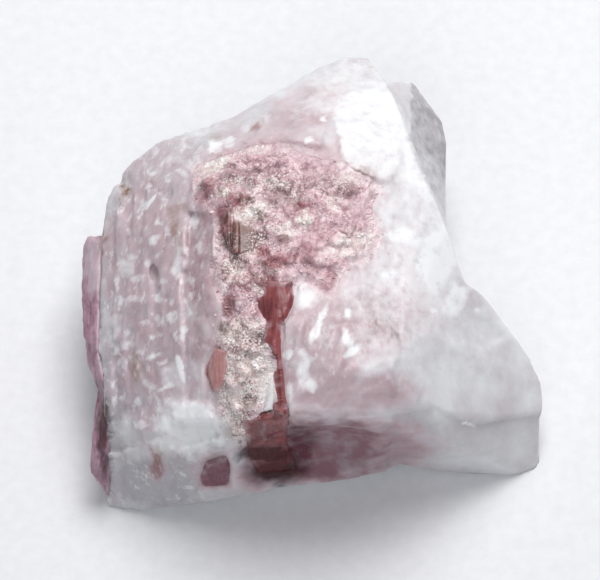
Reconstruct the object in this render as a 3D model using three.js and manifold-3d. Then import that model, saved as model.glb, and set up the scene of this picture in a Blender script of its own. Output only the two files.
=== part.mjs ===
// Pink tourmaline in albite: a broken block of milky albite with rose tourmaline crystals grown into it.
// Units are millimetres, +Z is up, and the block rests on z = 0 with its origin under the middle of its box.
//
// The block is worked out from its display side, the side that shows the crystals. A corner is given by how
// far right and up it stands when that side is looked at, and by its height above the table.
import * as THREE from "three";
import { ConvexGeometry } from "three/addons/geometries/ConvexGeometry.js";
import { mergeVertices } from "three/addons/utils/BufferGeometryUtils.js";
import Module from "manifold-3d";

const wasm = await Module();
wasm.setup();

// The display side is looked at from in front and above, at the middle of the block.
const DISPLAY_RISE = THREE.MathUtils.degToRad(60);
const DISPLAY_DISTANCE = 600;
const DISPLAY_HEIGHT = 16;

// How the crystals and the crust sit in the albite: how deep, and with what gap. A steep face needs more gap.
const CRYSTAL_DEPTH = 3;
const CRUST_DEPTH = 2.6;
const SEAT_GAP = 0.32;
const STEEP_SEAT_GAP = 0.6;

// The sugary crust: small blocky grains in rows, sunk a little, and kept clear of the larger crystals.
const GRAINS = {
  seed: 29,
  pitch: 2.5,
  row: 2.175,
  size: [1.2, 2.4],
  turn: 3,
  sink: 0.45,
  margin: 0.5,
};

// The fibrous left flank: long cleavage plates side by side, bent over at both ends. Each is broken across at
// its waist, with the upper length proud of the face and the lower length sunk into it.
const PLATES = {
  seed: 11,
  span: [-30.2, -15.5],
  width: [1.3, 3.1],
  spacing: [0.2, 0.7],
  step: [0.15, 0.75],
  roll: [3, 12],
  top: [12, 16],
  topSlope: 0.5,
  waist: [-10, 6],
  waistGap: 1,
  foot: [-24, -14],
  slant: 1.5,
  footSlant: 1,
  bendOver: { from: 0, curve: 0.006 },
  bendUnder: { from: -8, curve: 0.004 },
  wander: [0.15, 0.4],
};

// Bright blades of albite beside the main crystal, each a long narrow kite.
const BLADE_FAN = {
  seed: 5,
  count: 5,
  from: [0.6, -4.2],
  pitch: [1.7, -0.9],
  wander: 1.5,
  length: [4, 8],
  width: [0.8, 1.5],
  waist: 1.6,
  lean: [-0.12, -0.42],
  roll: [-12, 12],
  step: [0.25, 0.6],
};

// Shell-shaped breaks: each is a sphere, stretched sideways, that dips a little into the block.
const SHELL_FACETS = { around: 32, down: 20 };
const SHELL_BREAKS = [
  // Under the front brow.
  { radius: 20, stretch: 1.35, centre: [4.5, -46.4, 15] },
  // On the back, and on the back of the left flank.
  { radius: 16, stretch: 1.2, centre: [-5, 44, 10] },
  { radius: 12, stretch: 1, centre: [-23.2, 31, 8] },
  // On the right shoulder, and behind the wing.
  { radius: 14, stretch: 1, centre: [36, 19.5, 5] },
  { radius: 13, stretch: 1, centre: [38, 6.5, 5] },
];

// A ledge is cut or built up this far over and under the face that it lies on.
const LEDGE_ROOT = 3.5;

// An outline swept along the line of sight, a facet's cutter and the space over the table all reach past the
// block.
const SWEEP = 45;
const CHIP_REACH = 14;
const TABLE_SPACE = 180;

// Corners this close are one corner.
const SAME_CORNER = 1e-4;

// ---- Corners of the albite block: right, up, height ----

const BACK_RIM = [
  [-10.9, 27.8, 24], [-4.8, 30.9, 25.5], [3.2, 35.8, 26], [7.2, 37.3, 26], [10.9, 37.3, 26], [13.8, 33.6, 28],
];
const RIGHT_RIDGE = [
  [15.2, 30.9, 29], [17.6, 24, 30], [21, 16.2, 29.5], [23.4, 9.8, 27.5], [24.8, 5.1, 25.5], [26.4, 1.3, 23.5],
];
const CREST = [
  [-12, 16.8, 33], [-2.4, 20, 35.5], [4.8, 16, 35.5], [6.4, 4.8, 34.5], [-1.6, -4.8, 34],
  [-13.6, -1.6, 32.5], [4.8, -13.1, 32.3], [14.7, -12.6, 30.8],
];
const FRONT_BROW = [
  [-5.6, -20.3, 27.5], [3.2, -19.5, 28.5], [12.8, -19.8, 27], [18.2, -18.9, 25],
];
const FRONT_LIP = [
  [-5, -31.9, 4.5], [-2.4, -30.9, 4.5], [8, -30.4, 4.5], [16, -28.5, 4],
];
const LEFT_RIM = [
  [-28.2, 19.5, 20], [-24.3, 22.7, 21.5], [-20.5, 24.8, 22.5], [-16.8, 25.9, 23.5],
];
const LEFT_EDGE = [
  [-29.9, 16.3, 19.5], [-31.2, 13.6, 18.5], [-31.8, 9.8, 17.5], [-32.3, -1.6, 16.5], [-31.5, -16.8, 14],
  [-31.4, -24, 11],
];
const LEFT_BROW = [
  [-21.9, -26.7, 12.5], [-15.2, -25.9, 16.5], [-10.9, -23.4, 22],
];
const LEFT_FOOT = [
  [-31.4, -30.4, 3.5], [-30.9, -34.7, 0], [-28, -35.2, 0], [-25.6, -35.5, 0], [-17.6, -33.9, 1.5],
  [-13.6, -33.8, 2.5], [-4.8, -32.2, 4.5],
];
const WING_EDGE = [
  [26.4, 1.3, 23.5], [28.8, -0.3, 20], [31.5, -3.5, 17], [33.6, -7.2, 14.5], [36.8, -10.9, 11.5],
  [38.7, -14.9, 9], [38.7, -20.8, 6.5], [38.7, -28.7, 0.3],
];
const WING_BROW = [
  [12.8, -19.8, 27], [18.6, -18.9, 24], [22.1, -18.9, 20.5], [26.2, -21.1, 15], [28.8, -21.3, 12.5],
  [36.8, -19.8, 8], [14.4, -1.6, 31], [19.6, -7, 28],
];
const WING_FOOT = [
  [38.8, -29.3, 0], [36, -30.3, 0], [30.4, -30.1, 0], [24.8, -29.6, 0], [20.8, -29, 1], [16, -28.3, 3],
];
const SHOULDER = [
  [13.8, 33.4, 26], [18.1, 33.3, 17], [20, 30.1, 15], [22.6, 27.2, 14], [23.4, 24, 13.5], [23.3, 17.6, 13],
  [23.4, 10.2, 14], [18.3, 30.9, 18], [17.8, 25.6, 20], [13.8, 30.4, 22], [20.8, 9.6, 20],
];

// ---- Corners of the base, under the block: x and y on the table ----

const CORE_BASE = [[-6, -22], [16, -19], [24, -3], [21, 18], [9, 34], [-10, 27]];
const LEFT_BASE = [[-30, -20], [-30, 9], [-26, 18], [-10, 27], [-6, -22]];
const WING_BASE = [[37, -16], [30, -5], [25, -2], [16, -18]];
const SHOULDER_BASE = [[8.8, 33.8], [13, 33], [18, 30], [21.5, 25], [22.5, 13]];

// ---- The crust and the crystals, as outlines on the display side: right, up ----

const CRUST_OUTLINE = [
  [-16.5, 19.5], [-11.8, 21.1], [-7.8, 22.4], [-3.2, 23.2], [0.3, 21.1], [5, 20.2], [7.5, 19.5], [11.4, 17.6],
  [12.2, 16], [10.6, 13.4], [11.5, 10.4], [12.2, 7.4], [10.6, 4.8], [7.5, 4.8], [5.9, 2.2], [5, -0.8],
  [0.8, 2.2], [-0.6, 1.3], [-6.7, -0.8], [-6.7, -3.8], [-5.8, -5.9], [-4.8, -9], [-4.8, -13.1], [-5.8, -15.7],
  [-6.2, -18.7], [-7.8, -21.8], [-9.8, -24.3], [-10.9, -21.3], [-12.3, -18.7], [-13.4, -15.7], [-12.3, -14.1],
  [-11.8, -11], [-13, -7.5], [-11.8, -4.3], [-11.4, -2.4], [-13, 0.2], [-14.4, 2.2], [-13.4, 5.3], [-13, 9.4],
  [-13.9, 13.4], [-16, 15], [-16.8, 17.6],
];

// A crystal stands `proud` of the albite. Each of its facets is three or more corners, given as right, up and
// lift above the face of the albite, and what is over their plane is gone.
const HEAD = {
  outline: [
    [-5, 1.3], [-1.3, 1.3], [-0.8, -0.8], [-1, -2.7], [-1.9, -4.3], [-3, -5.3], [-3, -8.6], [-4.5, -9.3],
    [-5.9, -8.3], [-5.4, -5.9], [-5.8, -4.6], [-6.6, -3.4], [-7.1, -1.4], [-5.9, -1.1],
  ],
  proud: 1.2,
  facets: [
    [[-3.5, 2.2, 1], [-3.5, -10, 0.8], [-8.2, -10, -0.1], [-8.2, 2.2, 0]],
    [[-3.5, 2.2, 1], [0.2, 2.2, 0.3], [0.2, -10, 0.2], [-3.5, -10, 0.8]],
  ],
};
const TAIL = {
  outline: [
    [-3.1, -7.6], [-2.9, -10.4], [-2.5, -15], [-2.4, -23.5], [-3.5, -23.5], [-3.5, -16.5], [-3.9, -11.2],
    [-4.6, -8.4],
  ],
  proud: 0.5,
};
const FOOT = {
  outline: [
    [-9.2, -20.8], [-5.1, -20.3], [-2.2, -20.4], [-1.9, -24.5], [-0.9, -27], [-0.6, -28.7], [-6.5, -29.4],
    [-7.6, -28], [-8.3, -25.3],
  ],
  proud: 0.35,
  gap: STEEP_SEAT_GAP,
};
const STRIATED = {
  outline: [
    [-13, 12.9], [-10.9, 13.1], [-10.5, 11.8], [-9.8, 11], [-7.8, 10.9], [-7.4, 9.4], [-6.9, 8], [-7.5, 6.4],
    [-9.4, 5.7], [-10.6, 5.9], [-11.5, 7.2], [-12, 8.9],
  ],
  proud: 1.5,
  facets: [
    [[-14, 14, 0.5], [-11.6, 14, 1.4], [-11.6, 5, 1.2], [-14, 5, 0.3]],
    [[-9.9, 14, 1.3], [-6, 14, 0.4], [-6, 5, 0.3], [-9.9, 5, 1.1]],
    [[-11.2, 14, 1.2], [-10.6, 14, 0.9], [-10.6, 5, 0.7], [-11.2, 5, 1]],
  ],
};
const STUB = {
  outline: [
    [-14.9, -13.1], [-14.4, -10.7], [-13.3, -9.4], [-11.8, -9.9], [-11.7, -12.2], [-12.2, -14.4], [-13, -16.3],
    [-14.1, -16],
  ],
  proud: 1,
  facets: [
    [[-15.6, -8.6, 0.1], [-13.6, -8.6, 0.8], [-13.6, -17, 0.7], [-15.6, -17, 0]],
  ],
};
const CORNER = {
  outline: [[-14.9, -27.7], [-12, -26.6], [-11.2, -28.2], [-11.4, -31.2], [-15.6, -31.4], [-15.9, -30.1]],
  proud: 0.35,
  gap: STEEP_SEAT_GAP,
};

// The side crystal, a blade in three lengths down the left flank: right, up, height of its upper corners. Each
// length reaches `BLADE_DEPTH` down, and narrows downwards by `BLADE_TAPER`.
const BLADE_LENGTHS = [
  [
    [-33.9, 8.6, 16.3], [-31.2, 8.6, 17], [-34.6, 7, 15.3], [-31.9, 6.1, 16.8], [-34.9, -1.6, 14],
    [-32.4, -1.6, 16], [-34.6, -7.2, 13], [-32.5, -9.9, 15],
  ],
  [
    [-34.3, -6.4, 12.8], [-32.6, -9, 14.8], [-33.9, -11.7, 12], [-31.5, -15.2, 13.8], [-32.3, -15.9, 11.5],
    [-30.6, -17.9, 13.3],
  ],
  [
    [-32.2, -15.2, 11.2], [-30.8, -17.2, 13], [-32.3, -20.8, 10.3], [-31, -24, 11.3], [-33.4, -26.4, 8],
    [-31.8, -28.6, 9.3], [-33.3, -29.1, 7], [-32.1, -30.6, 6.3],
  ],
];
const BLADE_DEPTH = 5;
const BLADE_TAPER = 1.2;

// The slot for the side crystal: its corners widened along the three axes. That moves the faces between them
// by less, so it is wider than the gap it leaves.
const BLADE_SLOT = 0.55;

// Ledges that cleavage left on the display side. Inside its outline the face stands `by` proud, or is sunk when
// `by` is below zero, and is tipped to the right and down by the two angles of `tip`, in degrees.
const LEDGES = [
  // White plate over the left leg, and the block under it.
  { by: 0.7, tip: [-3, -7], outline: [[-20.8, -18.4], [-14.6, -17.8], [-13.9, -20.8], [-20.5, -21]] },
  { by: -0.8, tip: [4, 5], outline: [[-21.4, -21.2], [-14.4, -21.1], [-12.4, -23.4], [-20.6, -25.8]] },
  // Brow of the left leg.
  { by: -0.7, tip: [-4, 8], outline: [[-31, -20.5], [-27, -19.6], [-24.4, -24.6], [-30.6, -26.6]] },
  // Glassy band beside the crust.
  {
    by: -0.6,
    tip: [-7, 2],
    outline: [[-18.2, 12.6], [-14.6, 12.2], [-13.9, 3], [-14.8, -4.6], [-18.4, -5.2], [-18.6, 3]],
  },
  // White plates above and behind the crust.
  {
    by: 0.45,
    tip: [2, -3],
    outline: [[6.4, 31.4], [11.6, 32.6], [15, 27], [16.4, 20.6], [14.4, 17.4], [8.2, 18.4], [6.2, 24]],
  },
  {
    by: 0.5,
    tip: [0, -7],
    outline: [[-9.6, 26.2], [-2, 28.4], [4, 27.4], [3.4, 23], [-3.6, 24.6], [-9, 23.2]],
  },
  // Low step on the wing.
  {
    by: -0.6,
    tip: [1.5, 1],
    root: 16,
    outline: [
      [14.4, -12.6], [18.1, -13.8], [18.3, -15.8], [19.7, -18.1], [22.1, -18.7], [26.2, -21.1], [28.8, -21.3],
      [33, -20.4], [39.5, -19.6], [39.5, -33], [14, -33], [13.6, -20],
    ],
  },
  // Step across the wing, and the left facet of its front.
  {
    by: -0.25,
    tip: [1.5, 2],
    outline: [[18.4, -3.6], [26, -3.4], [30.4, -4.6], [33.4, -7.4], [29.4, -9.4], [21, -7.2]],
  },
  {
    by: -0.6,
    tip: [-5, 0],
    root: 16,
    outline: [[14.8, -19.6], [21.2, -18.8], [21.4, -27], [20.6, -33], [13.4, -33]],
  },
  // A scar and a small notch in the left rim.
  { by: -0.8, tip: [-4, -8], outline: [[-22.4, 24.8], [-14.6, 27.6], [-13.6, 25.2], [-19.4, 22.4]] },
  { by: -0.9, tip: [-10, 0], outline: [[-29.4, 17.6], [-27.4, 19.2], [-26.6, 16.4], [-28.4, 14.4]] },
];

// ---- Directions and points as seen from the display side ----

const across = new THREE.Vector3(1, 0, 0);
const upward = new THREE.Vector3(0, Math.sin(DISPLAY_RISE), Math.cos(DISPLAY_RISE));
const toward = new THREE.Vector3(0, -Math.cos(DISPLAY_RISE), Math.sin(DISPLAY_RISE));
const middle = new THREE.Vector3(0, 0, DISPLAY_HEIGHT);
const eye = middle.clone().addScaledVector(toward, DISPLAY_DISTANCE);

const aimAt = (right, up) => middle.clone().addScaledVector(across, right).addScaledVector(upward, up);

// The point that is seen at (right, up) and lies at a given height: where the line of sight meets that level.
function seen(right, up, height) {
  const aim = aimAt(right, up);
  const share = (eye.z - height) / (eye.z - aim.z);
  return eye.clone().addScaledVector(aim.sub(eye), share);
}

const seenAll = (corners) => corners.map((corner) => seen(...corner));
const onTable = (corners) => corners.map(([x, y]) => new THREE.Vector3(x, y, 0));

function middleOf(outline) {
  const sum = outline.reduce(([right, up], corner) => [right + corner[0], up + corner[1]], [0, 0]);
  return sum.map((total) => total / outline.length);
}

function insideOutline(outline, right, up) {
  let inside = false;
  outline.forEach(([x, y], i) => {
    const [px, py] = outline[(i + outline.length - 1) % outline.length];
    if (y > up !== py > up && right < ((px - x) * (up - y)) / (py - y) + x) {
      inside = !inside;
    }
  });
  return inside;
}

// The outline with every side moved outwards by a gap.
function widened(outline, gap) {
  const turn = THREE.ShapeUtils.isClockWise(outline.map(([x, y]) => new THREE.Vector2(x, y))) ? -1 : 1;
  const sharpest = 0.5;
  return outline.map((corner, i) => {
    const before = outline[(i + outline.length - 1) % outline.length];
    const after = outline[(i + 1) % outline.length];
    const first = new THREE.Vector2(corner[1] - before[1], before[0] - corner[0]).normalize();
    const second = new THREE.Vector2(after[1] - corner[1], corner[0] - after[0]).normalize();
    const out = first.clone().add(second).normalize();
    const reach = (turn * gap) / Math.max(out.dot(first), sharpest);
    return [corner[0] + out.x * reach, corner[1] + out.y * reach];
  });
}

// ---- A small repeatable source of chance ----

const CHANCE = { factor: 1664525, step: 1013904223, range: 2 ** 32 };

function chance(seed) {
  let state = seed;
  return () => {
    state = (state * CHANCE.factor + CHANCE.step) % CHANCE.range;
    return state / CHANCE.range;
  };
}

const between = (roll, [low, high]) => low + (high - low) * roll;

// ---- Solids ----

function solidOf(geometry) {
  const corners = geometry.clone();
  corners.deleteAttribute("normal");
  corners.deleteAttribute("uv");
  const merged = mergeVertices(corners, SAME_CORNER);
  const vertProperties = merged.attributes.position.array;
  const triVerts = new Uint32Array(merged.index.array);
  return new wasm.Manifold(new wasm.Mesh({ numProp: 3, vertProperties, triVerts }));
}

function geometryOf(solid) {
  const { vertProperties, triVerts } = solid.getMesh();
  const geometry = new THREE.BufferGeometry();
  geometry.setAttribute("position", new THREE.BufferAttribute(vertProperties, 3));
  geometry.setIndex(new THREE.BufferAttribute(triVerts, 1));
  return geometry;
}

const convex = (points) => solidOf(new ConvexGeometry(points));
const joined = (solids) => solids.reduce((all, one) => all.add(one));
const without = (solid, cutters) => cutters.reduce((left, cutter) => left.subtract(cutter), solid);

// An outline on the display side, swept along the lines of sight, so it narrows towards the eye. `far` and
// `near` are how close to the eye it starts and ends, counted from the middle of the block.
function swept(outline, far = -SWEEP, near = SWEEP) {
  const shape = new THREE.Shape(outline.map(([right, up]) => new THREE.Vector2(right, up)));
  const geometry = new THREE.ExtrudeGeometry(shape, { depth: near - far, bevelEnabled: false, steps: 1 });
  const position = geometry.attributes.position;
  for (let i = 0; i < position.count; i += 1) {
    const nearer = position.getZ(i) + far;
    const narrowing = 1 - nearer / DISPLAY_DISTANCE;
    const point = aimAt(position.getX(i) * narrowing, position.getY(i) * narrowing);
    point.addScaledVector(toward, nearer);
    position.setXYZ(i, point.x, point.y, point.z);
  }
  return solidOf(geometry);
}

const shifted = (solid, distance) => solid.translate(toward.clone().multiplyScalar(distance).toArray());

// The solid turned a little about a point: `roll` tips its face to the right, `pitch` tips it down.
function tipped(solid, point, [roll, pitch]) {
  const turn = new THREE.Matrix4().makeTranslation(point);
  turn.multiply(new THREE.Matrix4().makeRotationAxis(upward, THREE.MathUtils.degToRad(roll)));
  turn.multiply(new THREE.Matrix4().makeRotationAxis(across, THREE.MathUtils.degToRad(pitch)));
  turn.multiply(new THREE.Matrix4().makeTranslation(point.clone().negate()));
  const geometry = geometryOf(solid).applyMatrix4(turn);
  const vertProperties = geometry.attributes.position.array;
  return new wasm.Manifold(new wasm.Mesh({ numProp: 3, vertProperties, triVerts: geometry.index.array }));
}

// Finds the point of a stone's face that a line of sight meets first, if it meets the stone.
function faceOf(solid) {
  const mesh = new THREE.Mesh(geometryOf(solid));
  const ray = new THREE.Raycaster();
  return (right, up) => {
    ray.set(eye, aimAt(right, up).sub(eye).normalize());
    return ray.intersectObject(mesh)[0]?.point;
  };
}

// ---- The plain block: its large broken faces only ----

function brokenBlock() {
  const core = convex([
    ...seenAll([...BACK_RIM, ...RIGHT_RIDGE, ...CREST, ...FRONT_BROW, ...FRONT_LIP]),
    ...onTable(CORE_BASE),
  ]);
  const flank = convex([
    ...seenAll([...LEFT_RIM, ...LEFT_EDGE, ...LEFT_BROW, ...LEFT_FOOT]),
    ...seenAll([BACK_RIM[0], CREST[0], CREST[5], FRONT_BROW[0]]),
    ...onTable(LEFT_BASE),
  ]);
  const wing = convex([...seenAll([...WING_EDGE, ...WING_BROW, ...WING_FOOT]), ...onTable(WING_BASE)]);
  const shoulder = convex([...seenAll(SHOULDER), ...onTable(SHOULDER_BASE)]);
  return joined([core, flank, wing, shoulder]);
}

function shellBreak({ radius, stretch, centre }) {
  const shell = new THREE.SphereGeometry(radius, SHELL_FACETS.around, SHELL_FACETS.down);
  return solidOf(shell.scale(stretch, 1, 1).translate(...centre));
}

const plain = without(brokenBlock(), SHELL_BREAKS.map(shellBreak));
const plainFace = faceOf(plain);

// ---- The rough block: the plain block with plates, blades and ledges on its display side ----

// The stone inside an outline, built up or cut down to a copy of the plain block's face that is moved along the
// line of sight and tipped.
function ledged(stone, { outline, by, tip, root = LEDGE_ROOT }) {
  const copy = shifted(tipped(plain, plainFace(...middleOf(outline)), tip), by);
  const met = outline.map((corner) => plainFace(...corner)).filter((point) => point !== undefined);
  const nearness = met.map((point) => point.sub(middle).dot(toward));
  const prism = swept(outline, Math.min(...nearness) - root, Math.max(...nearness) + root);
  return by > 0 ? stone.add(prism.intersect(copy)) : stone.subtract(prism.subtract(copy));
}

function plateLedges() {
  const roll = chance(PLATES.seed);
  const { span, topSlope, waistGap, slant, footSlant, bendOver, bendUnder, wander } = PLATES;
  const over = (up) => bendOver.curve * Math.max(up - bendOver.from, 0) ** 2;
  const under = (up) => bendUnder.curve * Math.min(up - bendUnder.from, 0) ** 2;
  const about = (reach) => between(roll(), [-reach, reach]);
  const corner = (right, up) => [right + over(up) + under(up) + about(wander[0]), up + about(wander[1])];
  const ledges = [];
  let left = span[0];
  while (left < span[1]) {
    const right = left + between(roll(), PLATES.width);
    const top = between(roll(), PLATES.top) + topSlope * (left - span[0]);
    const foot = between(roll(), PLATES.foot);
    const waist = between(roll(), PLATES.waist);
    const upper = [
      corner(left, waist + waistGap), corner(left, top), corner(right, top - slant), corner(right, waist),
    ];
    const lower = [
      corner(left, foot), corner(left, waist - waistGap), corner(right, waist - waistGap - slant),
      corner(right, foot + footSlant),
    ];
    ledges.push(
      { outline: upper, by: between(roll(), PLATES.step), tip: [between(roll(), PLATES.roll), 0] },
      { outline: lower, by: -between(roll(), PLATES.step), tip: [-between(roll(), PLATES.roll), 0] },
    );
    left = right + between(roll(), PLATES.spacing);
  }
  return ledges;
}

function fanLedges() {
  const roll = chance(BLADE_FAN.seed);
  const { from, pitch, wander } = BLADE_FAN;
  return Array.from({ length: BLADE_FAN.count }, (_, i) => {
    const top = new THREE.Vector2(from[0] + pitch[0] * i, from[1] + pitch[1] * i);
    top.y += between(roll(), [-wander, wander]);
    const along = new THREE.Vector2(0, -1).rotateAround(new THREE.Vector2(), between(roll(), BLADE_FAN.lean));
    const beside = new THREE.Vector2(-along.y, along.x).multiplyScalar(between(roll(), BLADE_FAN.width) / 2);
    const waist = top.clone().addScaledVector(along, BLADE_FAN.waist);
    const end = top.clone().addScaledVector(along, between(roll(), BLADE_FAN.length));
    const kite = [top, waist.clone().add(beside), end, waist.clone().sub(beside)];
    return {
      outline: kite.map((corner) => corner.toArray()),
      by: between(roll(), BLADE_FAN.step),
      tip: [between(roll(), BLADE_FAN.roll), 0],
    };
  });
}

// Everything over the table, so the base stays flat.
function aboveTable() {
  const space = new THREE.BoxGeometry(TABLE_SPACE, TABLE_SPACE, TABLE_SPACE);
  return solidOf(space.translate(0, 0, TABLE_SPACE / 2));
}

const rough = [...plateLedges(), ...fanLedges(), ...LEDGES].reduce(ledged, plain).intersect(aboveTable());

// ---- The crystals ----

// What follows the plain block's face, from `depth` below it to `proud` above it, inside an outline.
function inlay(outline, depth, proud) {
  return swept(outline).intersect(shifted(plain, proud)).subtract(shifted(plain, -depth));
}

// The pocket that an inlay sits in, with a gap all round and under it.
function pocket(outline, depth, gap) {
  return swept(widened(outline, gap)).subtract(shifted(plain, -depth - gap));
}

// The cutter for a facet: everything over the plane through its corners.
function facetCutter(corners) {
  const plane = corners.map(([right, up, lift]) => plainFace(right, up).addScaledVector(toward, lift));
  const above = plane.map((corner) => corner.clone().addScaledVector(toward, CHIP_REACH));
  return convex([...plane, ...above]);
}

function crystal({ outline, proud, facets = [] }) {
  return without(inlay(outline, CRYSTAL_DEPTH, proud), facets.map(facetCutter));
}

// The side blade: each length runs down from its upper corners and tucks in under them.
function bladeLength(corners, loose) {
  const points = [];
  seenAll(corners).forEach((point) => {
    const lower = point.clone().add(new THREE.Vector3(BLADE_TAPER, 0, -BLADE_DEPTH));
    [point, lower].forEach((end) => {
      points.push(end);
      for (const axis of [[loose, 0, 0], [0, loose, 0], [0, 0, loose]]) {
        const step = new THREE.Vector3(...axis);
        points.push(end.clone().add(step), end.clone().sub(step));
      }
    });
  });
  return convex(points);
}

const mainCrystal = joined([HEAD, TAIL, FOOT].map(crystal));
const sideBlade = joined(BLADE_LENGTHS.map((corners) => bladeLength(corners, 0)));
const sideSlot = joined(BLADE_LENGTHS.map((corners) => bladeLength(corners, BLADE_SLOT)));

// ---- The sugary crust of grains, with openings for the crystals that stand in it ----

const IN_CRUST = [HEAD, TAIL, FOOT, STRIATED, STUB].map(({ outline }) => outline);

function grain(place, roll) {
  const size = [0, 0, 0].map(() => between(roll(), GRAINS.size));
  const [x, y, z] = [0, 0, 0].map(() => GRAINS.turn * roll());
  const block = new THREE.BoxGeometry(...size);
  return block.rotateX(x).rotateY(y).rotateZ(z).translate(...place.toArray());
}

function grainCrust() {
  const roll = chance(GRAINS.seed);
  const ups = CRUST_OUTLINE.map(([, up]) => up);
  const rights = CRUST_OUTLINE.map(([right]) => right);
  const edge = widened(CRUST_OUTLINE, -GRAINS.margin);
  const openings = IN_CRUST.map((outline) => widened(outline, GRAINS.margin));
  let sugary = plain;
  for (let up = Math.min(...ups); up < Math.max(...ups); up += GRAINS.row) {
    for (let right = Math.min(...rights); right < Math.max(...rights); right += GRAINS.pitch) {
      const x = right + between(roll(), [-GRAINS.pitch / 2, GRAINS.pitch / 2]);
      const y = up + between(roll(), [-GRAINS.row / 2, GRAINS.row / 2]);
      const clear = openings.every((outline) => !insideOutline(outline, x, y));
      const place = plainFace(x, y)?.addScaledVector(toward, -GRAINS.sink);
      if (clear && insideOutline(edge, x, y)) {
        sugary = sugary.add(solidOf(grain(place, roll)));
      }
    }
  }
  return sugary.intersect(swept(CRUST_OUTLINE)).subtract(shifted(plain, -CRUST_DEPTH));
}

const crust = without(grainCrust(), IN_CRUST.map((outline) => swept(widened(outline, SEAT_GAP))));

// ---- The albite with its pockets ----

const albite = without(rough, [
  pocket(CRUST_OUTLINE, CRUST_DEPTH, SEAT_GAP),
  ...[HEAD, TAIL, FOOT, STRIATED, STUB, CORNER].map(({ outline, gap = SEAT_GAP }) =>
    pocket(outline, CRYSTAL_DEPTH, gap),
  ),
  sideSlot,
]);

// ---- The specimen ----

const stoneFinish = (color, roughness) => new THREE.MeshStandardMaterial({ color, roughness, metalness: 0 });
const MILKY_ALBITE = stoneFinish("#dcd8d9", 0.45);
const SUGARY_PINK = stoneFinish("#c49ca1", 0.6);
const ROSE_RED = stoneFinish("#955a5c", 0.35);
const BROWN_RED = stoneFinish("#8c5450", 0.4);
const PLUM = stoneFinish("#7d5361", 0.35);
const PALE_ROSE = stoneFinish("#b58a94", 0.45);

// Cutting can leave loose flakes thinner than paper; a piece is the one body that is left without them.
const whole = (solid) => solid.decompose().reduce((most, one) => (one.volume() > most.volume() ? one : most));

const PIECES = [
  ["albite_matrix", albite, MILKY_ALBITE],
  ["tourmaline_crust", crust, SUGARY_PINK],
  ["main_tourmaline", mainCrystal, ROSE_RED],
  ["striated_tourmaline", crystal(STRIATED), BROWN_RED],
  ["stub_tourmaline", crystal(STUB), ROSE_RED],
  ["corner_tourmaline", crystal(CORNER), PLUM],
  ["side_tourmaline", sideBlade, PALE_ROSE],
];

const specimen = new THREE.Group();
PIECES.forEach(([name, solid, finish]) => {
  const mesh = new THREE.Mesh(geometryOf(whole(solid)), finish);
  mesh.name = name;
  specimen.add(mesh);
});

// The origin goes under the middle of the whole specimen's box.
const box = new THREE.Box3().setFromObject(specimen);
const centre = box.getCenter(new THREE.Vector3());
specimen.position.set(-centre.x, -centre.y, -box.min.z);

export default specimen;
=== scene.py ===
"""Pink tourmaline in albite: the looks of a broken block of milky albite with rose crystals grown into it.

The part's solids give the main shapes. Each stone here is its solid, broken up finer: cleavage steps and
fibres on the albite, sugary grains on the crust, and growth lines down the crystals.
"""

import math

import bmesh
import bpy
import numpy as np
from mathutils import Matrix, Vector
from mathutils.bvhtree import BVHTree


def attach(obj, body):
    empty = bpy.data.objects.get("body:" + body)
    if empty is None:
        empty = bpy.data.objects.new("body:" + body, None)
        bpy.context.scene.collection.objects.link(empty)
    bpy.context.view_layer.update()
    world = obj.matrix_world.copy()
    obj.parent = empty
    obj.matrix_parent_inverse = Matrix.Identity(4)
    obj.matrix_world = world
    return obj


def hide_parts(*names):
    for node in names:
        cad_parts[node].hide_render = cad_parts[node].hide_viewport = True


bl_info = {
    "name": "Pink tourmaline in albite",
    "version": (1, 0, 0),
    "blender": (4, 5, 0),
    "location": "3D View > Sidebar > Specimen",
    "description": "Builds a rose tourmaline and albite specimen around its solids",
    "category": "Add Mesh",
}

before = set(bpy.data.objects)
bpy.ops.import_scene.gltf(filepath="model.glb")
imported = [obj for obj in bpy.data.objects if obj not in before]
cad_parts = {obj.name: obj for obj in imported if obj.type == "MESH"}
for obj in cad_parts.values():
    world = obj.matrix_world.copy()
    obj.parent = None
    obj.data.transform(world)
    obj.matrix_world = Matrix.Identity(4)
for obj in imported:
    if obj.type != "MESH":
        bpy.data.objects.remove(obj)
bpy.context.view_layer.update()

MM = 0.001
# A ray as long as FAR leaves the stone from anywhere in it, and one from NEAR outside to NEAR inside a place
# passes through what lies there. Both are in mm.
FAR, NEAR = 80.0, 8.0

# The display side is looked at from the front and above; places on it are right and up of this point, in mm.
AIM = np.array([-1.882, -3.725, 16.0])
RISE = math.radians(60)
DISTANCE = 600.0
ACROSS = np.array([1.0, 0.0, 0.0])
UPWARD = np.array([0.0, math.sin(RISE), math.cos(RISE)])
TOWARD = np.array([0.0, -math.cos(RISE), math.sin(RISE)])
EYE = AIM + DISTANCE * TOWARD

# ---- Zones of the display side ----

# A patch is right, up, half width and half height in mm, turn in degrees, and strength.

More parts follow.
